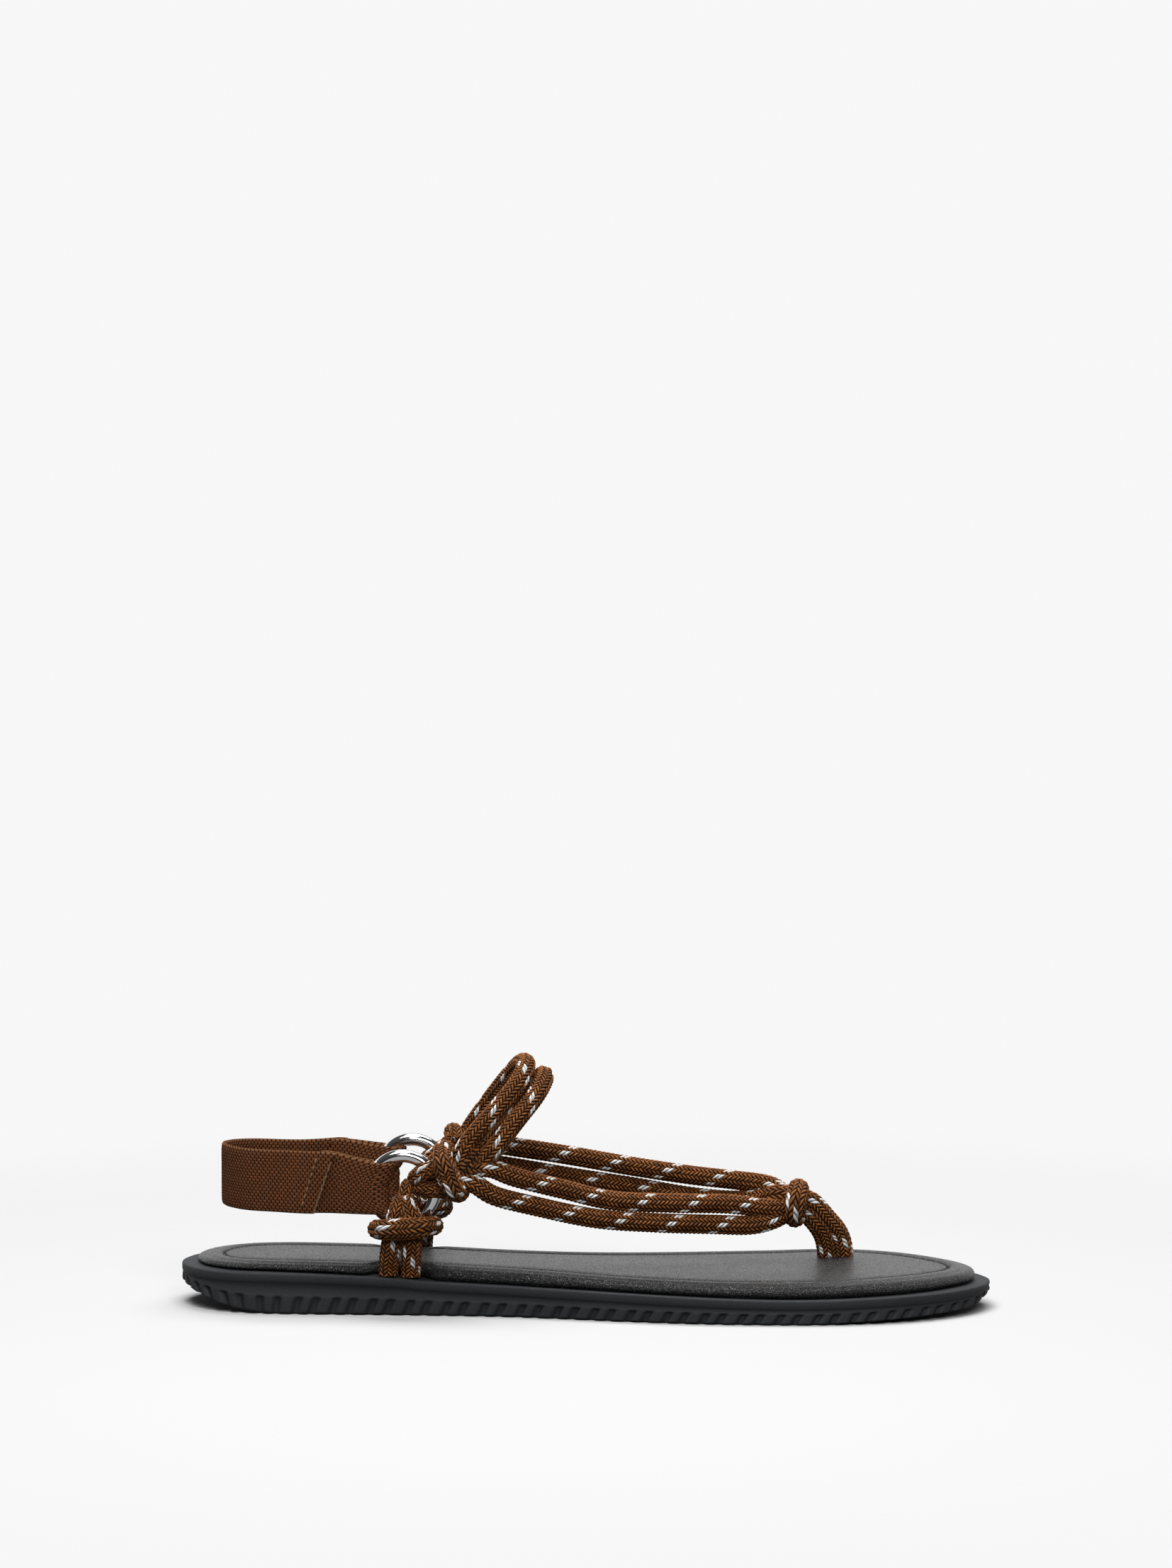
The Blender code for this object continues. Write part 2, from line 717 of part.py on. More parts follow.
def make_sewn_ends(side, finish):
    """The short strands under the bar that lead to the sewn ends of the ankle loops."""
    centre = ring_centre(side)
    wrap = WIRE_RADIUS + CLEARANCE + HITCH_RADIUS
    pieces = []
    targets = ((1, "ankle_back"), (-1, "lateral_low" if side < 0 else "medial_low"))
    for hand, strand in targets:
        turn = FRONT_ANGLE + hand * STRAND_ANGLE
        start = centre + RING_RADIUS * np.array([math.cos(turn), 0.0, math.sin(turn)])
        start = start + np.array([0.0, side * wrap, 0.0])
        rows = STRANDS[strand]
        ends = rows[:2] if rows[0][1] * side > 0 else (rows[-1], rows[-2])
        stops = [np.array(place(*row)) for row in ends]
        past_wire = start + np.array([2 * WIRE_RADIUS, 0.0, 0.0])
        radii = (HITCH_RADIUS, HITCH_RADIUS, ROPE_RADIUS * 0.95, ROPE_RADIUS)
        path = np.column_stack([[start, past_wire] + stops, radii])
        pieces.append(tube(f"{strand}_lead", smooth_path(path, ROPE_STEP), finish))
    high = "lateral_high" if side < 0 else "medial_high"
    rows = [STRANDS["ankle_front"][0 if side < 0 else -1], STRANDS[high][0]]
    ends = [np.array(place(*row)) for row in rows]
    lead = ends[1] - ends[0]
    path = np.array([(*(ends[0] - 0.3 * lead), ROPE_RADIUS), (*(ends[1] + 0.3 * lead), ROPE_RADIUS)])
    pieces.append(tube(f"{high}_turn", resample(path, 2), finish))
    patch = np.array(place(*PATCH)) * (1.0, side, 1.0)
    pieces.append(filler(f"{high}_patch", patch, PATCH_SIZES, PATCH_LEAN, finish))
    return pieces


def strap_station(x, y, way, offset, share, fold, along_fold):
    """One row of the strap at a place on its line: fold is 1 at the ring and 0 away from it."""
    width = STRAP_WIDTH + (FOLD_WIDTH - STRAP_WIDTH) * fold
    middle = STRAP_HEIGHT + (RING_HEIGHT - STRAP_HEIGHT) * fold
    z = middle + share * width / 2
    reach = math.sqrt(max(RING_RADIUS**2 - (share * FOLD_WIDTH / 2) ** 2, 0.0))
    x_shift = (RING_RADIUS - reach) * fold
    slope = RING_RADIUS / reach
    normal = np.array([way[1], -way[0]])
    return np.array([
        x + x_shift + normal[0] * offset + along_fold * slope,
        y + normal[1] * offset,
        z,
    ])


def half_strap_rows(share):
    """Points of the strap's middle layer for one share of its width, lateral half: tab, fold, heel."""
    line = smooth_line([(*place(a, -c, 0.0)[:2], 0.0) for a, c in STRAP_LINE])
    wire_x = ring_centre(-1)[0] - RING_RADIUS
    line[:, 0] += wire_x - line[0, 0]
    line = line[:, :3]
    travelled = np.concatenate([[0.0], np.cumsum(np.linalg.norm(np.diff(line, axis=0), axis=1))])
    ways = np.gradient(line, axis=0)
    ways /= np.linalg.norm(ways, axis=1)[:, None]
    flat = STRAP_THICKNESS / 2 + CLEARANCE
    open_fold = WIRE_RADIUS + CLEARANCE + STRAP_THICKNESS / 2

    def at(s, hand):
        x, y = (np.interp(s, travelled, line[:, i]) for i in (0, 1))
        way = np.array([np.interp(s, travelled, ways[:, i]) for i in (0, 1)])
        fold = max(0.0, 1 - s / FOLD_REACH)
        fold = fold * fold * (3 - 2 * fold)
        offset = flat + (open_fold - flat) * fold
        return strap_station(x, y, way, hand * offset, share, fold, 0.0)

    tab_x = TAB_END * SOLE_LENGTH - SOLE_LENGTH / 2 + share * TAB_SLOPE
    tab_s = np.interp(-tab_x, -line[:, 0][: len(line) // 2], travelled[: len(line) // 2])
    outer = [at(s, -1.0) for s in np.linspace(tab_s, 0.0, 7)]
    turn = []
    for angle in np.linspace(0.0, math.pi, 7)[1:-1]:
        row = strap_station(line[0, 0], line[0, 1], ways[0, :2], -math.cos(angle) * open_fold,
                            share, 1.0, math.sin(angle) * open_fold)
        turn.append(row)
    inner = [at(s, 1.0) for s in np.linspace(0.0, FOLD_REACH, 5)]
    inner += [at(s, 1.0) for s in np.linspace(FOLD_REACH, travelled[-1], 13)[1:]]
    return outer + turn + inner


def make_strap(finish):
    """The webbing: folded through both rings and laid round the heel."""
    shares = (-1.0, -0.5, 0.0, 0.5, 1.0)
    rows = []
    for share in shares:
        half = half_strap_rows(share)
        mirrored = [point * (1.0, -1.0, 1.0) for point in half[-2::-1]]
        rows.append(np.array(half + mirrored))
    grid = np.array(rows)
    ways = np.gradient(grid, axis=1)
    normals = np.stack([ways[..., 1], -ways[..., 0], np.zeros(ways.shape[:2])], axis=-1)
    normals /= np.linalg.norm(normals, axis=-1)[..., None]
    outer = grid + normals * STRAP_THICKNESS / 2
    inner = grid - normals * STRAP_THICKNESS / 2
    width, length = grid.shape[:2]
    vertices = list(outer.reshape(-1, 3)) + list(inner.reshape(-1, 3))
    back = width * length

    def index(layer, i, j):
        return layer * back + i * length + j

    faces = []
    for i in range(width - 1):
        for j in range(length - 1):
            faces.append((index(0, i, j), index(0, i, j + 1), index(0, i + 1, j + 1), index(0, i + 1, j)))
            faces.append((index(1, i, j), index(1, i + 1, j), index(1, i + 1, j + 1), index(1, i, j + 1)))
    for j in range(length - 1):
        for i, flip in ((0, False), (width - 1, True)):
            edge = (index(0, i, j), index(1, i, j), index(1, i, j + 1), index(0, i, j + 1))
            faces.append(edge[::-1] if flip else edge)
    for i in range(width - 1):
        for j, flip in ((0, True), (length - 1, False)):
            edge = (index(0, i, j), index(1, i, j), index(1, i + 1, j), index(0, i + 1, j))
            faces.append(edge[::-1] if flip else edge)
    return add_mesh("heel_strap", vertices, faces, finish)


def main():
    clear_scene()
    finishes = {name: material(name) for name in MATERIALS}
    edge = Edge()
    make_outsole(edge, finishes["rubber"])
    make_footbed(edge, finishes["leather"])
    make_upper(finishes["rope"])
    for name, side in (("lateral", -1), ("medial", 1)):
        make_anchor(f"anchor_{name}", side, finishes["rope"])
        make_ring(f"ring_{name}", side, finishes["steel"])
    make_strap(finishes["webbing"])


main()
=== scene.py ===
"""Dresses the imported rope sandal: braided ropes, webbing, rings, padded footbed and moulded outsole.

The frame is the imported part's: +X points to the toe, +Y to the inner side of the foot, +Z up, in
metres. Tables hold shares as the part's source does: along is of SOLE_LENGTH from the heel tip,
across of half the ball width (inner side positive), and up of INSTEP_HEIGHT.
"""
import logging
import math
from dataclasses import dataclass, field
from enum import Enum
from typing import Sequence

import bpy
import numpy as np
from mathutils import Matrix, Vector


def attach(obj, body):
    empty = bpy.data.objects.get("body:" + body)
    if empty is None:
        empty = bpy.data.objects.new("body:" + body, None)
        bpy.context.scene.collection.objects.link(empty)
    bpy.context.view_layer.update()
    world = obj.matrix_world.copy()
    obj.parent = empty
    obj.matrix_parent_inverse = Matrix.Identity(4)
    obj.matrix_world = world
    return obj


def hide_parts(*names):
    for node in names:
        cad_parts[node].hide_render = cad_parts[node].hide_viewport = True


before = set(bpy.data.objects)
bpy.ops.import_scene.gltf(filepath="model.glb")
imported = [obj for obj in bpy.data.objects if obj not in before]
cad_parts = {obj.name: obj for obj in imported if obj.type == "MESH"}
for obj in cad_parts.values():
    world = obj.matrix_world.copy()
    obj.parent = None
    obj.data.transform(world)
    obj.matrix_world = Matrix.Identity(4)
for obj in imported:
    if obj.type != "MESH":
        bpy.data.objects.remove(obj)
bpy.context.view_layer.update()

LOG = logging.getLogger("rope_sandal")

# Sizes of the part, in metres
SOLE_LENGTH = 0.262
BALL_WIDTH = 0.0864
SOLE_THICKNESS = 0.0132
FOOTBED_THICKNESS = 0.0041
FOOTBED_ROLL = 0.0032
ROPE_RADIUS = 0.0030
HITCH_RADIUS = 0.0026
BAR_RADIUS = 0.0034
WIRE_RADIUS = 0.0021
RING_RADIUS = 0.0104
RING_ALONG = 0.2805
RING_ACROSS = 0.465
RING_HEIGHT = 0.0400
INSTEP_HEIGHT = 0.0800

# Hitches: angles on the ring from +X towards +Z, and the anchors' legs
ANCHOR_ANGLE = math.radians(-86.0)
ANCHOR_BAR_REACH = 0.0118
FRONT_ANGLE = math.radians(20.0)
FRONT_BAR_REACH = 0.0160
STRAND_ANGLE = math.radians(18.0)
BAR_HALF = 0.0077
FRONT_BAR_HALF = 0.0062
ANCHOR_SPREAD = 0.0036
ANCHOR_SHIFT = 0.0014
LEG_OUT = 0.0006
LEG_BULGE = 0.0008
LEG_SWELL = 1.03
STRAND_PAST = 0.0010
STRAND_SPREAD = 0.0058
BEND_POINTS = 9
BRIDGE_PAST = 0.3
CLEARANCE = 0.0003
LINE_STEPS = 24

Rows = Sequence[Sequence[float]]
Point = tuple[float, float, float]
Colour = tuple[float, float, float, float]

# Outline of the outsole: lateral and medial are shares of half the ball width
OUTLINE = (
    # along, lateral, medial
    (0.009, 0.255, 0.255),
    (0.031, 0.455, 0.450),
    (0.069, 0.605, 0.595),
    (0.122, 0.658, 0.640),
    (0.198, 0.670, 0.615),
    (0.305, 0.680, 0.560),
    (0.400, 0.710, 0.525),
    (0.477, 0.790, 0.560),
    (0.565, 0.905, 0.700),
    (0.649, 0.980, 0.840),
    (0.725, 1.000, 0.950),
    (0.782, 0.990, 1.000),
    (0.840, 0.935, 0.955),
    (0.897, 0.815, 0.795),
    (0.943, 0.635, 0.605),
    (0.976, 0.420, 0.400),
    (0.994, 0.205, 0.200),
)

# Wall is a share of SOLE_THICKNESS, padding of FOOTBED_THICKNESS, inset in shares of FOOTBED_ROLL
LEVELS = (
    # along, wall, padding, inset
    (0.000, 1.000, 0.62, 1.62),
    (0.140, 1.000, 0.66, 0.90),
    (0.270, 0.915, 0.85, 0.55),
    (0.320, 0.835, 1.05, 0.55),
    (0.440, 0.745, 1.05, 0.55),
    (0.560, 0.690, 0.92, 0.55),
    (0.700, 0.620, 1.00, 0.60),
    (0.785, 0.610, 1.08, 0.65),
    (0.890, 0.645, 1.10, 1.00),
    (0.960, 0.655, 1.05, 1.45),
    (1.000, 0.655, 1.00, 1.55),
)

# Strands of the upper, from the hitch on each ring to the knot between the toes
STRANDS = {
    "lateral_high": (
        # along, across, up
        (0.350, -0.442, 0.575),
        (0.386, -0.477, 0.585),
        (0.418, -0.419, 0.543),
        (0.477, -0.279, 0.484),
        (0.536, -0.140, 0.430),
        (0.607, 0.023, 0.409),
        (0.678, 0.174, 0.395),
        (0.726, 0.279, 0.370),
        (0.754, 0.360, 0.375),
    ),
    "lateral_low": (
        (0.350, -0.465, 0.542),
        (0.370, -0.500, 0.519),
        (0.394, -0.477, 0.471),
        (0.442, -0.384, 0.424),
        (0.513, -0.233, 0.365),
        (0.584, -0.070, 0.336),
        (0.655, 0.093, 0.318),
        (0.702, 0.198, 0.308),
        (0.730, 0.279, 0.323),
        (0.747, 0.349, 0.350),
        (0.758, 0.395, 0.381),
    ),
    "medial_high": (
        (0.350, 0.420, 0.585),
        (0.378, 0.442, 0.612),
        (0.422, 0.488, 0.593),
        (0.482, 0.570, 0.557),
        (0.554, 0.616, 0.514),
        (0.626, 0.605, 0.481),
        (0.684, 0.535, 0.466),
        (0.724, 0.465, 0.453),
        (0.745, 0.407, 0.420),
    ),
    "medial_low": (
        (0.347, 0.430, 0.549),
        (0.369, 0.465, 0.535),
        (0.410, 0.512, 0.512),
        (0.482, 0.605, 0.466),
        (0.553, 0.651, 0.428),
        (0.626, 0.628, 0.391),
        (0.680, 0.547, 0.383),
        (0.716, 0.442, 0.402),
        (0.738, 0.372, 0.423),
        (0.756, 0.384, 0.411),
    ),
    "ankle_back": (
        (0.346, -0.453, 0.582),
        (0.361, -0.477, 0.686),
        (0.393, -0.415, 0.806),
        (0.418, -0.285, 0.905),
        (0.427, -0.140, 0.960),
        (0.426, 0.000, 0.978),
        (0.417, 0.140, 0.958),
        (0.392, 0.335, 0.855),
        (0.361, 0.442, 0.715),
        (0.348, 0.465, 0.640),
        (0.346, 0.453, 0.563),
    ),
    "ankle_front": (
        (0.370, -0.453, 0.576),
        (0.393, -0.477, 0.663),
        (0.418, -0.410, 0.768),
        (0.440, -0.275, 0.857),
        (0.449, -0.135, 0.908),
        (0.449, 0.000, 0.926),
        (0.444, 0.135, 0.908),
        (0.424, 0.315, 0.808),
        (0.396, 0.425, 0.690),
        (0.376, 0.450, 0.620),
        (0.368, 0.440, 0.570),
    ),
}

POST_STRANDS = (
    # along, across, up; the last row is the foot of the strand, in the footbed's slot
    (
        (0.757, 0.407, 0.409),
        (0.779, 0.419, 0.388),
        (0.798, 0.453, 0.319),
        (0.812, 0.477, 0.259),
        (0.818, 0.485, 0.194),
        (0.819, 0.485, 0.148),
    ),
    (
        (0.752, 0.395, 0.387),
        (0.772, 0.407, 0.340),
        (0.784, 0.430, 0.297),
        (0.793, 0.465, 0.245),
        (0.797, 0.483, 0.183),
        (0.797, 0.485, 0.148),
    ),
)

# The loop that ties the strands between the toes
KNOT = (
    # along, across, up
    (0.759, 0.470, 0.345),
    (0.761, 0.500, 0.395),
    (0.762, 0.440, 0.436),
    (0.762, 0.330, 0.436),
    (0.759, 0.250, 0.400),
    (0.758, 0.265, 0.350),
    (0.758, 0.350, 0.332),
    (0.758, 0.430, 0.335),
)

# Half of a hitch's bar, from its end behind the ring to its middle in front: past is a share of
# BAR_RADIUS beyond the bar's line, reach of BAR_HALF, height of the wrap's distance from the ring
HITCH_BAR = (
    # past, reach, height, thick
    (0.294, 0.70, -1.00, 0.765),
    (0.353, 1.12, -0.30, 0.822),
    (0.176, 1.16, 0.55, 0.880),
    (0.000, 0.72, 1.88, 0.940),
    (0.000, 0.00, 2.00, 1.000),
)

# Middle of the sewn patch that holds the ankle loops together, and half sizes of pressed rope
PATCH = (0.362, 0.460, 0.600)
PATCH_LEAN = math.radians(-35.0)
PATCH_SIZES = (0.0057, 0.0032, 0.0075)
KNOT_CORE = (0.0045, 0.0042, 0.0042)
HITCH_CORE = (0.0033, 0.0034, 0.0056)
CORE_LIFT = 0.0010

# Section of the footbed's rolled edge
ROLL = (
    # inset in shares of FOOTBED_ROLL, height in shares of the pad's
    (0.30, 0.00),
    (0.00, 0.25),
    (0.04, 0.60),
    (0.35, 0.88),
    (1.00, 1.00),
)

# Half of the heel strap's line as seen from above, from the ring to the back of the heel
STRAP_LINE = (
    # along, across
    (0.241, 0.465),
    (0.190, 0.505),
    (0.135, 0.500),
    (0.090, 0.420),
    (0.062, 0.250),
    (0.050, 0.080),
    (0.0485, 0.000),
)


class Side(Enum):
    """A side of the shoe; the value is the sign of Y."""

    LATERAL = -1
    MEDIAL = 1


class Slot(Enum):
    """The record's material slots."""

    OUTSOLE = "outsole"
    FOOTBED = "footbed"
    ROPE = "rope"
    RING = "ring"
    WEBBING = "webbing"


# Lines and outlines

def smooth_line(rows: Rows, steps: int = LINE_STEPS) -> np.ndarray:
    """Draw a smooth curve through rows of numbers.

    Args:
        rows: Points, with any further columns carried along.
        steps: Points on the curve for each row.

    Returns:
        The curve's points, as many columns wide as the rows.
    """
    points = np.asarray(rows, float)
    ends = np.vstack([2 * points[0] - points[1], points, 2 * points[-1] - points[-2]])
    t = np.linspace(0.0, 1.0, steps, endpoint=False)[:, None]
    spans = []
    for before, start, end, after in zip(ends, ends[1:], ends[2:], ends[3:]):
        spans.append(0.5 * (
            2 * start
            + (end - before) * t
            + (2 * before - 5 * start + 4 * end - after) * t**2
            + (3 * start - before - 3 * end + after) * t**3
        ))
    return np.vstack(spans + [points[-1:]])


def distances(points: np.ndarray) -> np.ndarray:
    """Return how far along the line each of its points is."""
    steps = np.linalg.norm(np.diff(points[:, :3], axis=0), axis=1)
    return np.concatenate([[0.0], np.cumsum(steps)])


def read_line(line: np.ndarray, travelled: np.ndarray, wanted: np.ndarray) -> np.ndarray:
    """Return a line's columns at wanted distances; travelled is how far along each point is."""
    return np.column_stack([np.interp(wanted, travelled, column) for column in line.T])


def resample(points: np.ndarray, count: int) -> np.ndarray:
    """Return the same line with count equal steps."""
    travelled = distances(points)
    return read_line(points, travelled, np.linspace(0.0, travelled[-1], count + 1))


def unit(vectors: np.ndarray) -> np.ndarray:
    """Return vectors of length one, row by row."""
    return vectors / np.linalg.norm(vectors, axis=-1, keepdims=True)


def place(along: float, across: float, up: float) -> Point:
    """Return the world point of a row of shares."""
    return ((along - 0.5) * SOLE_LENGTH, across * BALL_WIDTH / 2, up * INSTEP_HEIGHT)


def ray(angle: float) -> np.ndarray:
    """Return the direction at an angle from +X towards +Z."""
    return np.array([math.cos(angle), 0.0, math.sin(angle)])


def circles(angle: np.ndarray, ups: np.ndarray, others: np.ndarray) -> np.ndarray:
    """Return circles of length-one arrows, one circle for each pair of ups and others."""
    cos, sin = np.cos(angle)[None, :, None], np.sin(angle)[None, :, None]
    return cos * ups[:, None] + sin * others[:, None]


def level(column: int, x: np.ndarray) -> np.ndarray:
    """Return a column of LEVELS at x, read from a smooth curve."""
    line = smooth_line([(row[0], row[column]) for row in LEVELS])
    return np.interp(np.asarray(x) / SOLE_LENGTH + 0.5, line[:, 0], line[:, 1])


def outsole_top(x: np.ndarray) -> np.ndarray:
    """Return the height of the outsole's upper face at x."""
    return SOLE_THICKNESS * level(1, x)


def footbed_top(x: np.ndarray) -> np.ndarray:
    """Return the height of the footbed's upper face at x."""
    return outsole_top(x) + FOOTBED_THICKNESS * level(2, x)


def side_line(column: int) -> np.ndarray:
    """Return one edge of the outsole from heel tip to toe tip.

    Args:
        column: 1 for the lateral side, 2 for the medial side.

    Returns:
        Rows of x, y.
    """
    sign = -1.0 if column == 1 else 1.0
    rows = [(row[0], sign * row[column]) for row in OUTLINE]
    rows = [(0.0, 0.0)] + rows + [(1.0, 0.02)]
    heel, toe = (rows[1][0], -rows[1][1]), (rows[-2][0], -rows[-2][1])
    line = smooth_line([heel] + rows + [toe])[LINE_STEPS:-LINE_STEPS]
    return (line - (0.5, 0.0)) * (SOLE_LENGTH, BALL_WIDTH / 2)


class Edge:
    """The outsole's edge as a closed line, with its outward direction at any place."""

    def __init__(self) -> None:
        """Join the two sides into one closed line."""
        lateral, medial = side_line(1), side_line(2)[::-1]
        self.line = np.vstack([lateral, medial[1:]])
        self.travelled = distances(self.line)
        self.half = float(distances(lateral)[-1])
        self.total = float(self.travelled[-1])

    def at(self, s: np.ndarray) -> np.ndarray:
        """Return rows of x, y at places along the line."""
        return read_line(self.line, self.travelled, np.asarray(s) % self.total)

    def outward(self, s: np.ndarray, reach: float = 0.0015) -> np.ndarray:
        """Return the outward directions at places along the line, evened over reach."""
        way = unit(self.at(s + reach) - self.at(s - reach))
        return np.column_stack([way[:, 1], -way[:, 0]])

    def stations(self, per_side: int) -> np.ndarray:
        """Spread places along the line, from the heel tip.

        Args:
            per_side: How many on each side.

        Returns:
            Their distances along the line.
        """
        lateral = np.linspace(0.0, self.half, per_side, endpoint=False)
        medial = np.linspace(self.half, self.total, per_side, endpoint=False)
        return np.concatenate([lateral, medial])

    def inset(self, s: np.ndarray, depth: np.ndarray) -> np.ndarray:
        """Return rows of x, y at a depth inside the edge."""
        return self.at(s) - self.outward(s) * np.broadcast_to(depth, s.shape)[:, None]


# Meshes

@dataclass
class Surface:
    """A mesh under construction.

    Attributes:
        points: Sheets of points.
        faces: Their four-sided faces.
        corners: Weave coordinates of each face's corners.
        count: How many points there are.
    """

    points: list[np.ndarray] = field(default_factory=list)
    faces: list[np.ndarray] = field(default_factory=list)
    corners: list[np.ndarray] = field(default_factory=list)
    count: int = 0

    def grid(self, points: np.ndarray, weave: np.ndarray, closed: bool,
             facing: Sequence[float] | None = None) -> None:
        """Add a sheet of points as faces turned outward.

        Args:
            points: Rows by columns by 3.
            weave: Rows by columns by 2; one column more than points where closed.
            closed: Whether the last column joins the first.
            facing: The way an open sheet faces; a closed one faces away from its middle.
        """
        rows, columns = points.shape[:2]
        span = columns if closed else columns - 1
        i, j = np.meshgrid(np.arange(rows - 1), np.arange(span), indexing="ij")
        after = (j + 1) % columns
        here, above = i * columns, (i + 1) * columns
        face = np.stack([here + j, here + after, above + after, above + j], axis=-1).reshape(-1, 4)
        corner = np.stack([
            weave[i, j], weave[i, j + 1], weave[i + 1, j + 1], weave[i + 1, j],
        ], axis=-2).reshape(-1, 4, 2)
        flat = points.reshape(-1, 3)
        a, b, c, d = (flat[face[:, k]] for k in range(4))
        normals = np.cross(c - a, d - b)
        toward = (a + c) / 2 - flat.mean(axis=0) if facing is None else np.asarray(facing)
        if (normals * toward).sum() < 0:
            face, corner = face[:, ::-1], corner[:, ::-1]
        self.points.append(flat)
        self.faces.append(face + self.count)
        self.corners.append(corner)
        self.count += rows * columns

    def plain(self, points: np.ndarray, closed: bool, facing: Sequence[float] | None = None) -> None:
        """Add a sheet that has no weave; its coordinates are plan positions in millimetres.

        Args:
            points: Rows by columns by 3.
            closed: Whether the last column joins the first.
            facing: The way an open sheet faces.
        """
        flat = points[..., :2] * 1000
        weave = np.concatenate([flat, flat[:, :1]], axis=1) if closed else flat
        self.grid(points, weave, closed, facing)

    def wall(self, loops: np.ndarray, per_side: int, columns: int) -> None:
        """Add a wall of loops round the sole, closed by a sheet under it and one over it.

        Args:
            loops: Loops by stations by 3, each from the heel tip along the lateral side.
            per_side: Stations on each side.
            columns: Points across each sheet.
        """
        self.plain(loops, closed=True)
        share = np.linspace(0.0, 1.0, columns)[None, :, None]
        for loop, facing in ((loops[0], (0.0, 0.0, -1.0)), (loops[-1], (0.0, 0.0, 1.0))):
            lateral = loop[: per_side + 1]
            medial = np.vstack([loop[:1], loop[: per_side - 1 : -1]])
            across = lateral[:, None] * (1 - share) + medial[:, None] * share
            self.plain(across, closed=False, facing=facing)

    def build(self, name: str) -> bpy.types.Object:
        """Make the object, smooth shaded, with the weave coordinates as a UV map.

        Args:
            name: The piece's name.

        Returns:
            The object, linked to the scene.
        """
        points, faces = np.vstack(self.points), np.vstack(self.faces)
        mesh = bpy.data.meshes.new(name)
        mesh.vertices.add(len(points))
        mesh.vertices.foreach_set("co", points.astype(np.float32).ravel())
        mesh.loops.add(faces.size)
        mesh.loops.foreach_set("vertex_index", faces.astype(np.int32).ravel())
        mesh.polygons.add(len(faces))
        mesh.polygons.foreach_set("loop_start", np.arange(0, faces.size, 4, dtype=np.int32))
        mesh.polygons.foreach_set("use_smooth", np.ones(len(faces), dtype=bool))
        layer = mesh.uv_layers.new(name=WEAVE_MAP)
        layer.data.foreach_set("uv", np.vstack(self.corners).astype(np.float32).ravel())
        mesh.update(calc_edges=True)
        mesh.validate()
        made = bpy.data.objects.new(name, mesh)
        bpy.context.scene.collection.objects.link(made)
        return made


def settle(made: bpy.types.Object, slot: Slot, finish: bpy.types.Material,
           *nodes: str) -> bpy.types.Object:
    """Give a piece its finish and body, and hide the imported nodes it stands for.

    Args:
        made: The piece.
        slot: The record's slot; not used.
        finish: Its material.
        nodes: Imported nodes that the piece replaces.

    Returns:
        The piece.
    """
    made.data.materials.clear()
    made.data.materials.append(finish)
    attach(made, "root")
    if nodes:
        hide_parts(*nodes)
    LOG.info("%s: %d faces", made.name, len(made.data.polygons))
    return made


# Weaves: wales run along the rope or strap, and each holds a row of slanted picks

WEAVE_MAP = "weave"


@dataclass(frozen=True)
class Weave:
    """How picks lie in a braid or a web.

    Attributes:
        wale: Width of one row of picks.
        pitch: Length of one pick along its row.
        slant: Picks that a float leans over the width of its wale.
        alternate: 1 where every second wale leans the other way.
        stagger: Share of a pick by which each wale is set off from the last.
        relief: Height from the gaps to the tops of the picks.
        middle: Share of that height which lies at the cord's own radius.
    """

    wale: float
    pitch: float
    slant: float
    alternate: float
    stagger: float
    relief: float
    middle: float

    def height(self, across: np.ndarray, along: np.ndarray) -> np.ndarray:
        """Draw the picks.

        Args:
            across: Weave coordinates in wales.
            along: Weave coordinates in picks.

        Returns:
            Heights from 0 to 1.
        """
        wale = np.floor(across + 1e-6)
        t = across - wale
        sign = 1 - 2 * self.alternate * (wale % 2)
        phase = along + sign * (t - 0.5) * self.slant + wale * self.stagger
        ridge = np.clip(np.sin(np.pi * (phase % 1.0)), 0.0, 1.0)
        crown = np.clip(np.sin(np.pi * np.clip(t, 0.0, 1.0)), 0.0, 1.0)
        return ridge**PICK_ROUND * (PICK_EDGE + (1 - PICK_EDGE) * crown**PICK_ROUND)

    def raised(self, weave: np.ndarray) -> np.ndarray:
        """Return how far the surface stands out at weave coordinates, in metres."""
        return self.relief * (self.height(weave[..., 0], weave[..., 1]) - self.middle)


# Picks: the power that rounds them, and their height at the edge of a wale
PICK_ROUND = 0.8
PICK_EDGE = 0.6

BRAID = Weave(wale=0.00157, pitch=0.00146, slant=1.0, alternate=1.0, stagger=0.5,
              relief=0.00062, middle=0.6)
WEB = Weave(wale=0.00095, pitch=0.00150, slant=0.0, alternate=0.0, stagger=0.47,
            relief=0.00028, middle=0.8)
BRAID_WALES = 12
SIDES_PER_WALE = 5
BRAID_SIDES = BRAID_WALES * SIDES_PER_WALE
RINGS_PER_PICK = 5


def weave_grid(along: np.ndarray, across: np.ndarray) -> np.ndarray:
    """Return a grid of weave coordinates, across first."""
    return np.stack(np.meshgrid(along, across, indexing="ij")[::-1], axis=-1)


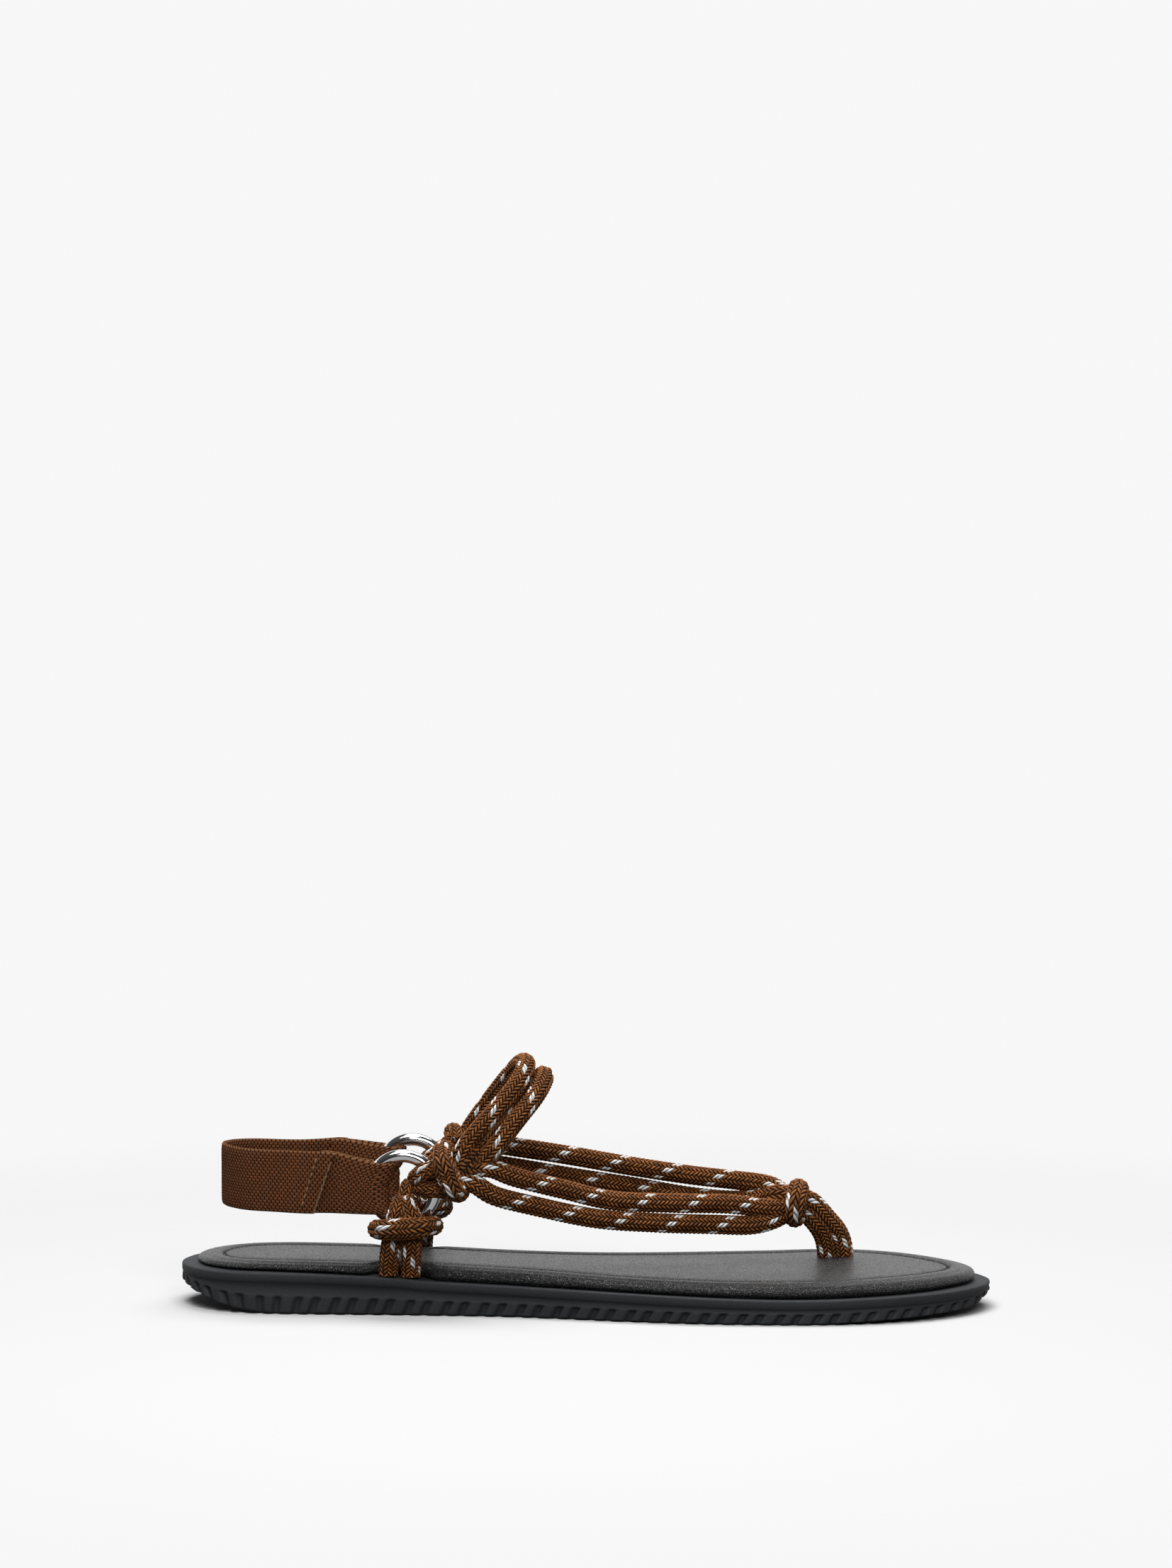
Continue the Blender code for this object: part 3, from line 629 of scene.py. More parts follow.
def braided_tube(surface: Surface, rows: Rows, start: float = 0.0) -> None:
    """Add a braided rope.

    Args:
        surface: The mesh it is added to.
        rows: Points of its middle line, with the rope's radius as fourth number.
        start: Picks by which the braid is moved along the rope.
    """
    line = smooth_line(rows)
    length = distances(line)[-1]
    path = resample(line, max(4, round(length / BRAID.pitch * RINGS_PER_PICK)))
    middles, radii = path[:, :3], path[:, 3]
    ways = unit(np.gradient(middles, axis=0))
    side = np.cross(ways[0], (0.0, 1.0, 0.0) if abs(ways[0][1]) < 0.9 else (1.0, 0.0, 0.0))
    sides = []
    for way in ways:
        side = side - way * side.dot(way)
        side = side / np.linalg.norm(side)
        sides.append(side)
    ups = np.array(sides)
    along = np.linspace(0.0, length / BRAID.pitch, len(path)) + start
    weave = weave_grid(along, np.arange(BRAID_SIDES + 1) / SIDES_PER_WALE)
    reach = radii[:, None] + BRAID.raised(weave[:, :-1])
    angle = 2 * math.pi * np.arange(BRAID_SIDES) / BRAID_SIDES
    points = middles[:, None] + reach[..., None] * circles(angle, ups, np.cross(ways, ups))
    surface.grid(points, weave, closed=True)
    for end, facing in ((0, -ways[0]), (-1, ways[-1])):
        rim = points[end]
        centre = np.repeat(middles[end][None], BRAID_SIDES, 0)
        cap = np.stack([rim, 0.5 * (rim + middles[end]), centre])
        surface.grid(cap, np.repeat(weave[end][None], 3, 0), closed=True, facing=facing)


def pressed_rope(surface: Surface, centre: Sequence[float], half_sizes: Sequence[float],
                 turn: float, rings: int = 36) -> None:
    """Add an egg of pressed rope, braided like the strands around it.

    Args:
        surface: The mesh it is added to.
        centre: Its middle.
        half_sizes: Its half sizes before it is turned.
        turn: Angle from +X towards +Z.
        rings: Rows of faces from one end to the other.
    """
    polar = np.linspace(0.02, math.pi - 0.02, rings + 1)
    around = 2 * math.pi * np.arange(BRAID_SIDES) / BRAID_SIDES
    ball = np.stack([
        np.sin(polar)[:, None] * np.cos(around), np.sin(polar)[:, None] * np.sin(around),
        np.broadcast_to(np.cos(polar)[:, None], (rings + 1, BRAID_SIDES)),
    ], axis=-1)
    along = -half_sizes[2] * np.cos(polar) / BRAID.pitch
    weave = weave_grid(along, np.arange(BRAID_SIDES + 1) / SIDES_PER_WALE)
    relief = BRAID.raised(weave[:, :-1])
    egg = ball * half_sizes + unit(ball / half_sizes) * relief[..., None]
    spin = np.array(Matrix.Rotation(-turn, 3, "Y"))
    surface.grid(egg @ spin.T + np.asarray(centre), weave, closed=True)


# Materials

class Graph:
    """Adds nodes to one tree and joins them."""

    def __init__(self, tree: bpy.types.NodeTree) -> None:
        """Work in the given tree."""
        self.tree = tree

    def node(self, kind: str, inputs: dict[str | int, object] | None = None,
             **settings: object) -> bpy.types.Node:
        """Add a node.

        Args:
            kind: Its type name, without ShaderNode.
            inputs: Values or sockets for its inputs, by name or number.
            settings: Attributes of the node.

        Returns:
            The node.
        """
        made = self.tree.nodes.new(kind if kind.startswith("Node") else "ShaderNode" + kind)
        for name, value in settings.items():
            setattr(made, name, value)
        for name, value in (inputs or {}).items():
            self.feed(made.inputs[name], value)
        return made

    def feed(self, socket: bpy.types.NodeSocket, value: object) -> None:
        """Link a socket, or set its value.

        Args:
            socket: The input.
            value: A socket to link it to, or a value.
        """
        if isinstance(value, bpy.types.NodeSocket):
            self.tree.links.new(value, socket)
        else:
            socket.default_value = value

    def math(self, operation: str, a: object, b: object = 0.0, c: object = 0.0) -> bpy.types.NodeSocket:
        """Return the result of a math node."""
        return self.node("Math", {0: a, 1: b, 2: c}, operation=operation).outputs[0]

    def mix(self, share: object, a: object, b: object) -> bpy.types.NodeSocket:
        """Return a colour between a and b."""
        return self.node("Mix", {"Factor": share, 6: a, 7: b}, data_type="RGBA").outputs[2]

    def spread(self, value: object, low: float, high: float) -> bpy.types.NodeSocket:
        """Return a value mapped from a range to 0 and 1, and clamped."""
        return self.node("MapRange", {0: value, 1: low, 2: high}).outputs[0]

    def noise(self, scale: object, detail: float = 3.0, roughness: float = 0.5) -> bpy.types.NodeSocket:
        """Return noise in object space.

        Args:
            scale: Its scale, a number or a socket.
            detail: Its octaves.
            roughness: Weight of the finer octaves.

        Returns:
            Values from 0 to 1.
        """
        made = self.node("TexNoise", {
            "Vector": self.node("TexCoord").outputs["Object"],
            "Scale": scale, "Detail": detail, "Roughness": roughness,
        })
        return made.outputs["Fac"]

    def weave_map(self) -> bpy.types.bpy_prop_collection:
        """Return the weave coordinates, across and along."""
        where = self.node("UVMap", uv_map=WEAVE_MAP).outputs[0]
        return self.node("SeparateXYZ", {0: where}).outputs


def new_group(name: str, inputs: dict[str, float],
              outputs: Sequence[str]) -> tuple[bpy.types.NodeTree, Graph]:
    """Make an empty node group.

    Args:
        name: Its name.
        inputs: Float inputs with their defaults.
        outputs: Float outputs.

    Returns:
        The group and its graph.
    """
    tree = bpy.data.node_groups.new(name, "ShaderNodeTree")
    for label, default in inputs.items():
        socket = tree.interface.new_socket(label, in_out="INPUT", socket_type="NodeSocketFloat")
        socket.default_value = default
    for label in outputs:
        tree.interface.new_socket(label, in_out="OUTPUT", socket_type="NodeSocketFloat")
    return tree, Graph(tree)


def woven_picks() -> bpy.types.NodeTree:
    """Build the group that draws wales of slanted picks, for the ropes and the webbing.

    Returns:
        A group with Height, Tone, Wale and Pick.
    """
    tree, g = new_group(
        "woven_picks",
        {"Across": 0.0, "Along": 0.0, "Slant": 1.0, "Alternate": 1.0, "Stagger": 0.5, "Filaments": 4.0},
        ("Height", "Tone", "Wale", "Pick"),
    )
    given = g.node("NodeGroupInput").outputs
    wale = g.math("FLOOR", given["Across"])
    t = g.math("SUBTRACT", given["Across"], wale)
    odd = g.math("MULTIPLY", g.math("FLOORED_MODULO", wale, 2.0), given["Alternate"])
    sign = g.math("MULTIPLY_ADD", odd, -2.0, 1.0)
    lean = g.math("MULTIPLY", g.math("MULTIPLY", sign, given["Slant"]), g.math("SUBTRACT", t, 0.5))
    phase = g.math("ADD", g.math("ADD", given["Along"], lean), g.math("MULTIPLY", wale, given["Stagger"]))
    pick = g.math("FLOOR", phase)
    f = g.math("SUBTRACT", phase, pick)
    ridge = g.math("POWER", g.math("SINE", g.math("MULTIPLY", f, math.pi)), PICK_ROUND)
    crown = g.math("POWER", g.math("SINE", g.math("MULTIPLY", t, math.pi)), PICK_ROUND)
    body = g.math("MULTIPLY", ridge, g.math("MULTIPLY_ADD", crown, 1 - PICK_EDGE, PICK_EDGE))
    fine = g.math("SINE", g.math("MULTIPLY", g.math("MULTIPLY", f, given["Filaments"]), 2 * math.pi))
    height = g.math("MULTIPLY_ADD", fine, 0.045, body)
    spot = g.node("CombineXYZ", {0: g.math("ADD", wale, 0.5), 1: g.math("ADD", pick, 0.5)}).outputs[0]
    tone = g.node("TexWhiteNoise", {"Vector": spot}, noise_dimensions="2D").outputs["Value"]
    g.node("NodeGroupOutput", {"Height": height, "Tone": tone, "Wale": wale, "Pick": pick})
    return tree


def uneven_tone() -> bpy.types.NodeTree:
    """Build the group that makes a surface slightly uneven, for every finish.

    Returns:
        A group with Broad, slow blotches from 0 to 1, and Fine, small ones.
    """
    tree, g = new_group("uneven_tone", {"Broad Scale": 30.0, "Fine Scale": 900.0}, ("Broad", "Fine"))
    given = g.node("NodeGroupInput").outputs
    broad = g.noise(given["Broad Scale"])
    fine = g.noise(given["Fine Scale"], 4.0, 0.6)
    g.node("NodeGroupOutput", {
        "Broad": g.spread(broad, 0.30, 0.70), "Fine": g.spread(fine, 0.30, 0.70),
    })
    return tree


def pebbled_grain() -> bpy.types.NodeTree:
    """Build the group that draws small rounded cells, for the footbed and the rubber.

    Returns:
        A group with Height.
    """
    tree, g = new_group("pebbled_grain", {"Cell Scale": 1400.0, "Wander": 0.0004}, ("Height",))
    given = g.node("NodeGroupInput").outputs
    where = g.node("TexCoord").outputs["Object"]
    stir = g.node("TexNoise", {"Vector": where, "Scale": 260.0, "Detail": 2.0}).outputs["Color"]
    shift = g.node("VectorMath", {0: stir, "Scale": given["Wander"]}, operation="SCALE").outputs[0]
    moved = g.node("VectorMath", {0: where, 1: shift}, operation="ADD").outputs[0]
    cells = g.node("TexVoronoi", {"Vector": moved, "Scale": given["Cell Scale"]},
                   feature="DISTANCE_TO_EDGE").outputs["Distance"]
    g.node("NodeGroupOutput", {"Height": g.spread(cells, 0.0, 0.32)})
    return tree


@dataclass(frozen=True)
class Finish:
    """What every finish has.

    Attributes:
        name: The material's name.
        colour: Its main colour, linear.
        roughness: The shader's roughness.
        specular: The shader's specular level.
        scales: Scales of its slow and its small blotches.
        depths: Depths of its bump layers, in metres.
    """

    name: str
    colour: Colour
    roughness: float
    specular: float = 0.5
    scales: tuple[float, float] = (30.0, 900.0)
    depths: tuple[float, ...] = ()

    def scaled(self, share: float) -> Colour:
        """Return the main colour, darker or lighter by a share."""
        return tuple(min(1.0, c * share) for c in self.colour[:3]) + (1.0,)

    def start(self) -> tuple[bpy.types.Material, Graph, bpy.types.Node]:
        """Make the material.

        Returns:
            The material, its graph and its Principled shader.
        """
        made = bpy.data.materials.new(self.name)
        made.use_nodes = True
        graph = Graph(made.node_tree)
        shader = made.node_tree.nodes["Principled BSDF"]
        shader.inputs["Specular IOR Level"].default_value = self.specular
        shader.inputs["Roughness"].default_value = self.roughness
        return made, graph, shader

    def coat(self, g: Graph, shader: bpy.types.Node, colour: bpy.types.NodeSocket,
             fine: bpy.types.NodeSocket, swing: float, start: float = 0.0) -> None:
        """Feed the shader's colour and its uneven roughness.

        Args:
            g: The material's graph.
            shader: Its Principled shader.
            colour: The colour.
            fine: Small blotches from 0 to 1.
            swing: How much rougher the blotches are.
            start: Roughness between them, beside the finish's own.
        """
        g.feed(shader.inputs["Base Color"], colour)
        g.feed(shader.inputs["Roughness"], g.math("MULTIPLY_ADD", fine, swing, self.roughness + start))

    def tone(self, g: Graph) -> tuple[bpy.types.NodeSocket, bpy.types.NodeSocket]:
        """Place the uneven_tone group.

        Args:
            g: The material's graph.

        Returns:
            Its slow and its small blotches.
        """
        made = g.node("Group", {"Broad Scale": self.scales[0], "Fine Scale": self.scales[1]},
                      node_tree=GROUPS["uneven_tone"])
        return made.outputs["Broad"], made.outputs["Fine"]

    def pebbles(self, g: Graph, scale: float) -> bpy.types.NodeSocket:
        """Place the pebbled_grain group and return its height."""
        made = g.node("Group", {"Cell Scale": scale}, node_tree=GROUPS["pebbled_grain"])
        return made.outputs["Height"]

    def picks(self, g: Graph, weave: Weave, filaments: float) -> bpy.types.bpy_prop_collection:
        """Place the woven_picks group on the weave map.

        Args:
            g: The material's graph.
            weave: The weave whose slant and stagger are drawn.
            filaments: Fine ridges on each pick.

        Returns:
            The group's outputs.
        """
        parts = g.weave_map()
        return g.node("Group", {
            "Across": parts[0], "Along": parts[1], "Slant": weave.slant,
            "Alternate": weave.alternate, "Stagger": weave.stagger, "Filaments": filaments,
        }, node_tree=GROUPS["woven_picks"]).outputs

    def bump(self, g: Graph, shader: bpy.types.Node, *heights: bpy.types.NodeSocket) -> None:
        """Stack bump layers on the shader.

        Args:
            g: The material's graph.
            shader: Its Principled shader.
            heights: Heights from 0 to 1, one for each of the finish's depths.
        """
        normal = None
        for height, depth in zip(heights, self.depths):
            made = g.node("Bump", {"Height": height, "Distance": depth})
            if normal is not None:
                g.feed(made.inputs["Normal"], normal)
            normal = made.outputs[0]
        g.feed(shader.inputs["Normal"], normal)


@dataclass(frozen=True)
class BraidFinish(Finish):
    """Brown braided rope with flecks from two white yarns.

    Attributes:
        gap_shade: Painted shade between the picks, where their height is low.
        fleck: Colour of the white yarns.
        worn_fleck: Their colour where they are soiled.
    """

    gap_shade: Colour = (0.010, 0.0035, 0.0015, 1.0)
    fleck: Colour = (0.98, 0.98, 0.96, 1.0)
    worn_fleck: Colour = (0.80, 0.79, 0.77, 1.0)
    scales: tuple[float, float] = (60.0, 2600.0)
    depths: tuple[float, ...] = (0.00045, 0.00006)

    def build(self) -> bpy.types.Material:
        """Make the material.

        Returns:
            The material, with its nodes.
        """
        made, g, shader = self.start()
        picks = self.picks(g, BRAID, 4.0)
        broad, fine = self.tone(g)
        lift = g.math("MULTIPLY_ADD", picks["Tone"], 0.85, g.math("MULTIPLY", fine, 0.35))
        yarn = g.mix(g.math("MULTIPLY_ADD", broad, 0.20, lift), self.scaled(0.55), self.scaled(2.1))
        # On even wales two picks in every BRAID_WALES are white, a pick further on from wale to wale
        climb = g.math("MULTIPLY_ADD", picks["Wale"], 0.5, picks["Pick"])
        turn = g.math("FLOORED_MODULO", climb, float(BRAID_WALES))
        even = g.math("LESS_THAN", g.math("FLOORED_MODULO", picks["Wale"], 2.0), 0.5)
        white = g.math("MULTIPLY", g.math("LESS_THAN", turn, 1.9), even)
        pale = g.mix(g.math("MULTIPLY", fine, 0.35), self.fleck, self.worn_fleck)
        yarn = g.mix(white, yarn, pale)
        # Painted shade: the colour darkens to the gap colour where the picks' height is low, between
        # picks and between wales; white picks get hardly any
        low = g.math("MULTIPLY_ADD", white, -0.40, 0.46)
        shade = g.math("DIVIDE", g.math("SUBTRACT", picks["Height"], low), 0.34)
        colour = g.mix(g.spread(shade, 0.0, 1.0), self.gap_shade, yarn)
        self.coat(g, shader, colour, fine, 0.18, -0.09)
        self.bump(g, shader, picks["Height"], fine)
        return made


@dataclass(frozen=True)
class WebFinish(Finish):
    """Brown twill webbing with paler fuzz along its edges.

    Attributes:
        gap_shade: Painted shade between the picks, where their height is low.
        fuzz: Colour of the edges' fuzz.
        width: Width of the webbing, in metres.
    """

    gap_shade: Colour = (0.012, 0.0035, 0.002, 1.0)
    fuzz: Colour = (0.26, 0.13, 0.055, 1.0)
    width: float = 0.020
    scales: tuple[float, float] = (45.0, 2400.0)
    depths: tuple[float, ...] = (0.00040, 0.00006)

    def build(self) -> bpy.types.Material:
        """Make the material.

        Returns:
            The material, with its nodes.
        """
        made, g, shader = self.start()
        picks = self.picks(g, WEB, 3.0)
        broad, fine = self.tone(g)
        lift = g.math("MULTIPLY_ADD", picks["Tone"], 0.35, g.math("MULTIPLY", broad, 0.35))
        yarn = g.mix(lift, self.colour, self.scaled(1.7))
        half = self.width / WEB.wale / 2
        from_middle = g.math("ABSOLUTE", g.math("SUBTRACT", g.weave_map()[0], half))
        rim = g.spread(from_middle, half - 1.1, half)
        ragged = g.math("MULTIPLY", rim, g.spread(fine, 0.25, 0.75))
        yarn = g.mix(ragged, yarn, self.fuzz)
        # Painted shade: the colour darkens to the gap colour where the picks' height is low, in the pits
        # between the floats
        shade = g.spread(picks["Height"], 0.22, 0.62)
        self.coat(g, shader, g.mix(shade, self.gap_shade, yarn), fine, 0.14, -0.07)
        self.bump(g, shader, picks["Height"], fine)
        return made


@dataclass(frozen=True)
class LeatherFinish(Finish):
    """Black leather with a fine pebbled grain, painted shade in its creases and a paler speckle painted
    as glints.

    Attributes:
        grain_scale: Cells of the grain for each metre.
        speckle_scale: Scale of the painted glint speckle.
        glint_speckle: Colour of the painted glints.
    """

    grain_scale: float = 2000.0
    speckle_scale: float = 2300.0
    glint_speckle: Colour = (0.020, 0.020, 0.021, 1.0)
    scales: tuple[float, float] = (35.0, 1500.0)
    depths: tuple[float, ...] = (0.00012, 0.00030, 0.00025)

    def build(self) -> bpy.types.Material:
        """Make the material.

        Returns:
            The material, with its nodes.
        """
        made, g, shader = self.start()
        broad, fine = self.tone(g)
        pebbles = self.pebbles(g, self.grain_scale)
        skin = g.mix(g.math("MULTIPLY", broad, 0.6), self.colour, self.scaled(1.9))
        # Painted glints: a paler speckle mixed into the colour stands in for the sparkle of the grain
        glint_speckle = g.spread(g.noise(self.speckle_scale), 0.50, 0.64)
        skin = g.mix(glint_speckle, skin, self.glint_speckle)
        # Painted shade: the colour is darker where the pebbled grain is low, in the creases between its
        # cells
        self.coat(g, shader, g.mix(pebbles, self.scaled(0.45), skin), fine, 0.20, -0.10)
        self.bump(g, shader, pebbles, glint_speckle, broad)
        return made


@dataclass(frozen=True)
class RubberFinish(Finish):
    """Matt moulded rubber.

    Attributes:
        grain_scale: Cells of the grain for each metre.
    """

    grain_scale: float = 2600.0
    scales: tuple[float, float] = (40.0, 1300.0)
    depths: tuple[float, ...] = (0.00002, 0.00004)

    def build(self) -> bpy.types.Material:
        """Make the material.

        Returns:
            The material, with its nodes.
        """
        made, g, shader = self.start()
        broad, fine = self.tone(g)
        colour = g.mix(g.math("MULTIPLY", broad, 0.7), self.colour, self.scaled(1.5))
        self.coat(g, shader, colour, fine, 0.16, -0.08)
        self.bump(g, shader, self.pebbles(g, self.grain_scale), fine)
        return made


@dataclass(frozen=True)
class ChromeFinish(Finish):
    """Polished chrome with faint handling marks."""

    scales: tuple[float, float] = (120.0, 2500.0)
    depths: tuple[float, ...] = (0.00003,)

    def build(self) -> bpy.types.Material:
        """Make the material.

        Returns:
            The material, with its nodes.
        """
        made, g, shader = self.start()
        shader.inputs["Metallic"].default_value = 1.0
        broad, fine = self.tone(g)
        colour = g.mix(g.math("MULTIPLY", broad, 0.5), self.colour, self.scaled(0.90))
        self.coat(g, shader, colour, fine, 0.07)
        self.bump(g, shader, broad)
        return made


@dataclass(frozen=True)
class ThreadFinish(Finish):
    """Twisted sewing thread."""

    scales: tuple[float, float] = (400.0, 5200.0)
    depths: tuple[float, ...] = (0.00010, 0.00003)

    def build(self) -> bpy.types.Material:
        """Make the material.

        Returns:
            The material, with its nodes.
        """
        made, g, shader = self.start()
        broad, fine = self.tone(g)
        parts = g.weave_map()
        twist = g.math("SINE", g.math("MULTIPLY", g.math("ADD", parts[0], parts[1]), 2 * math.pi))
        ply = g.spread(twist, -1.0, 1.0)
        dark = self.scaled(0.5)
        # Painted shade: the colour darkens in the grooves between the twisted plies, where the ply height
        # is low; the slow blotches also darken it at random
        self.coat(g, shader, g.mix(ply, dark, g.mix(broad, self.colour, dark)), fine, 0.12)
        self.bump(g, shader, ply, fine)
        return made


GROUPS: dict[str, bpy.types.NodeTree] = {
    "woven_picks": woven_picks(),
    "uneven_tone": uneven_tone(),
    "pebbled_grain": pebbled_grain(),
}


@dataclass
class Finishes:
    """The sandal's materials.

    Attributes:
        rope: Braided rope.
        web: Webbing of the heel strap.
        leather: Cover of the footbed.
        rubber: The outsole's rubber.
        chrome: The rings' chrome.
        black_thread: Thread in the footbed's groove.
        brown_thread: Thread and frayed yarns of the heel strap.
        dark_thread: Thread of the sewn patches.
    """

    rope: bpy.types.Material = field(init=False)
    web: bpy.types.Material = field(init=False)
    leather: bpy.types.Material = field(init=False)
    rubber: bpy.types.Material = field(init=False)
    chrome: bpy.types.Material = field(init=False)
    black_thread: bpy.types.Material = field(init=False)
    brown_thread: bpy.types.Material = field(init=False)
    dark_thread: bpy.types.Material = field(init=False)

    def __post_init__(self) -> None:
        """Make each material once."""
        self.rope = BraidFinish("braided_rope", (0.200, 0.073, 0.0200, 1.0), 0.56, 0.14).build()
        self.web = WebFinish("twill_webbing", (0.158, 0.059, 0.024, 1.0), 0.82, 0.08).build()
        self.leather = LeatherFinish("grained_leather", (0.0045, 0.0045, 0.0047, 1.0), 0.29, 0.66).build()
        self.rubber = RubberFinish("moulded_rubber", (0.026, 0.0275, 0.030, 1.0), 0.66, 0.30).build()
        self.chrome = ChromeFinish("polished_chrome", (0.86, 0.86, 0.87, 1.0), 0.06).build()
        self.black_thread = ThreadFinish("black_thread", (0.016, 0.016, 0.017, 1.0), 0.55, 0.4).build()
        self.brown_thread = ThreadFinish("brown_thread", (0.42, 0.25, 0.13, 1.0), 0.60, 0.3).build()
        self.dark_thread = ThreadFinish("dark_thread", (0.030, 0.013, 0.007, 1.0), 0.60, 0.3).build()


THREAD_STEPS = 12
THREAD_SIDES = 10


def thread_run(surface: Surface, path: np.ndarray, radius: float,
               twist_pitch: float = 0.0012) -> None:
    """Add one visible stitch, tapered and sunk at both ends.

    Args:
        surface: The mesh it is added to.
        path: Points of the stitch's middle line.
        radius: Half the thread's thickness.
        twist_pitch: Length of one turn of the thread's plies.
    """
    line = resample(smooth_line(path, 8), THREAD_STEPS)
    ways = unit(np.gradient(line, axis=0))
    side = unit(np.cross(ways, np.roll(ways, 1, axis=1) + (0.0, 0.0, 0.01)))
    other = np.cross(ways, side)
    share = np.linspace(-1.0, 1.0, THREAD_STEPS + 1)
    reach = radius * np.sqrt(np.clip(1 - share**6, 0.02, 1.0))
    angle = 2 * math.pi * np.arange(THREAD_SIDES) / THREAD_SIDES
    points = line[:, None] + reach[:, None, None] * circles(angle, side, other)
    plies = np.arange(THREAD_SIDES + 1) / THREAD_SIDES * 2
    weave = weave_grid(distances(line) / twist_pitch, plies)
    surface.grid(points, weave, closed=True)


# Sub-assemblies

@dataclass
class Ropework:
    """Every rope: the upper's strands, the hitches on the rings, the anchors and the toe knot.

    Attributes:
        finishes: The sandal's materials.
    """

    finishes: Finishes

    @staticmethod
    def ring_centre(side: Side) -> np.ndarray:
        """Return the middle of a ring."""
        x, y, _ = place(RING_ALONG, side.value * RING_ACROSS, 0.0)
        return np.array([x, y, RING_HEIGHT])

    @staticmethod
    def shares(rows: Rows, radius: float = ROPE_RADIUS) -> list[tuple[float, ...]]:
        """Return rows of shares as world points with a radius."""
        return [(*place(*row), radius) for row in rows]

    def hitch(self, surface: Surface, side: Side, angle: float, bar_reach: float,
              bar_half: float) -> None:
        """Add the two strands over a ring's wire and the bar that holds them down.

        Args:
            surface: The mesh they are added to.
            side: The ring's side.
            angle: Where on the ring the hitch sits, from +X towards +Z.
            bar_reach: Distance of the bar from the ring's middle.
            bar_half: Half the bar's length.
        """
        centre = self.ring_centre(side)
        out = np.array([0.0, side.value, 0.0])
        axis = ray(angle)
        across = np.array([-math.sin(angle), 0.0, math.cos(angle)])
        wrap = WIRE_RADIUS + CLEARANCE * 1.5 + HITCH_RADIUS
        for hand in (-1, 1):
            arm = ray(angle + hand * STRAND_ANGLE)
            wire = centre + RING_RADIUS * arm
            rows = [wire + out * wrap + axis * (bar_reach - RING_RADIUS + HITCH_RADIUS)]
            for bend in np.linspace(0.0, math.pi, BEND_POINTS):
                rows.append(wire + wrap * (math.cos(bend) * out - math.sin(bend) * arm))
            past = axis * (bar_reach + STRAND_PAST) + across * hand * STRAND_SPREAD
            rows.append(centre - out * wrap + past)
            radii = np.full(len(rows), HITCH_RADIUS)
            braided_tube(surface, np.column_stack([rows, radii]), 3.0 * hand)
        half = []
        for past, reach, height, thick in HITCH_BAR:
            middle = centre + axis * (bar_reach + past * BAR_RADIUS) + out * height * wrap
            half.append((middle, across * reach * bar_half, thick * BAR_RADIUS))
        rows = [(*(middle - shift), radius) for middle, shift, radius in half]
        rows += [(*(middle + shift), radius) for middle, shift, radius in half[-2::-1]]
        braided_tube(surface, rows, 5.0)
        core = centre + axis * bar_reach + out * (wrap + CORE_LIFT)
        pressed_rope(surface, core, HITCH_CORE, angle)

    def anchor(self, side: Side) -> bpy.types.Object:
        """Build the short rope on a ring's bottom, with its two legs beside the footbed.

        Args:
            side: The ring's side.

        Returns:
            The piece.
        """
        surface = Surface()
        self.hitch(surface, side, ANCHOR_ANGLE, ANCHOR_BAR_REACH, BAR_HALF)
        centre = self.ring_centre(side)
        wrap = WIRE_RADIUS + CLEARANCE + HITCH_RADIUS
        foot_x = centre[0] + RING_RADIUS * math.cos(ANCHOR_ANGLE) - ANCHOR_SHIFT
        foot_y = side.value * (abs(centre[1]) + wrap + LEG_OUT)
        for hand in (-1, 1):
            top = centre + RING_RADIUS * ray(ANCHOR_ANGLE + hand * STRAND_ANGLE)
            top = top + np.array([0.0, side.value * wrap, 0.0])
            x = foot_x + hand * ANCHOR_SPREAD
            foot = np.array([x, foot_y, float(outsole_top(x - ROPE_RADIUS)) + CLEARANCE])
            heel = foot + np.array([0.0, 0.0, ROPE_RADIUS])
            middle = 0.5 * (top + heel) + np.array([0.0, side.value * LEG_BULGE, 0.0])
            radii = (HITCH_RADIUS, ROPE_RADIUS * LEG_SWELL, ROPE_RADIUS * LEG_SWELL, ROPE_RADIUS)
            braided_tube(surface, np.column_stack([(top, middle, heel, foot), radii]), 4.0 - 2.0 * hand)
        name = side.name.lower()
        made = surface.build(f"anchor_rope_{name}")
        return settle(made, Slot.ROPE, self.finishes.rope, f"anchor_{name}")

    def sewn_ends(self, surface: Surface, side: Side) -> None:
        """Add the short strands under the bar that lead to the ankle loops and the toe strands.

        Args:
            surface: The mesh they are added to.
            side: The ring's side.
        """
        centre = self.ring_centre(side)
        wrap = WIRE_RADIUS + CLEARANCE + HITCH_RADIUS
        lateral = side is Side.LATERAL
        targets = ((1, "ankle_back"), (-1, "lateral_low" if lateral else "medial_low"))
        for hand, strand in targets:
            start = centre + RING_RADIUS * ray(FRONT_ANGLE + hand * STRAND_ANGLE)
            start = start + np.array([0.0, side.value * wrap, 0.0])
            rows = STRANDS[strand]
            ends = rows[:2] if rows[0][1] * side.value > 0 else (rows[-1], rows[-2])
            stops = [np.array(place(*row)) for row in ends]
            past_wire = start + np.array([2 * WIRE_RADIUS, 0.0, 0.0])
            radii = (HITCH_RADIUS, HITCH_RADIUS, ROPE_RADIUS * 0.95, ROPE_RADIUS)
            braided_tube(surface, np.column_stack([[start, past_wire] + stops, radii]), 2.0)
        rows = [STRANDS["ankle_front"][0 if lateral else -1]]
        rows.append(STRANDS["lateral_high" if lateral else "medial_high"][0])
        ends = [np.array(place(*row)) for row in rows]
        lead = ends[1] - ends[0]
        line = [ends[0] - BRIDGE_PAST * lead, ends[0], ends[1], ends[1] + BRIDGE_PAST * lead]
        braided_tube(surface, np.column_stack([line, np.full(4, ROPE_RADIUS)]), 1.0)
        patch = np.array(place(*PATCH)) * (1.0, side.value, 1.0)
        pressed_rope(surface, patch, PATCH_SIZES, PATCH_LEAN)

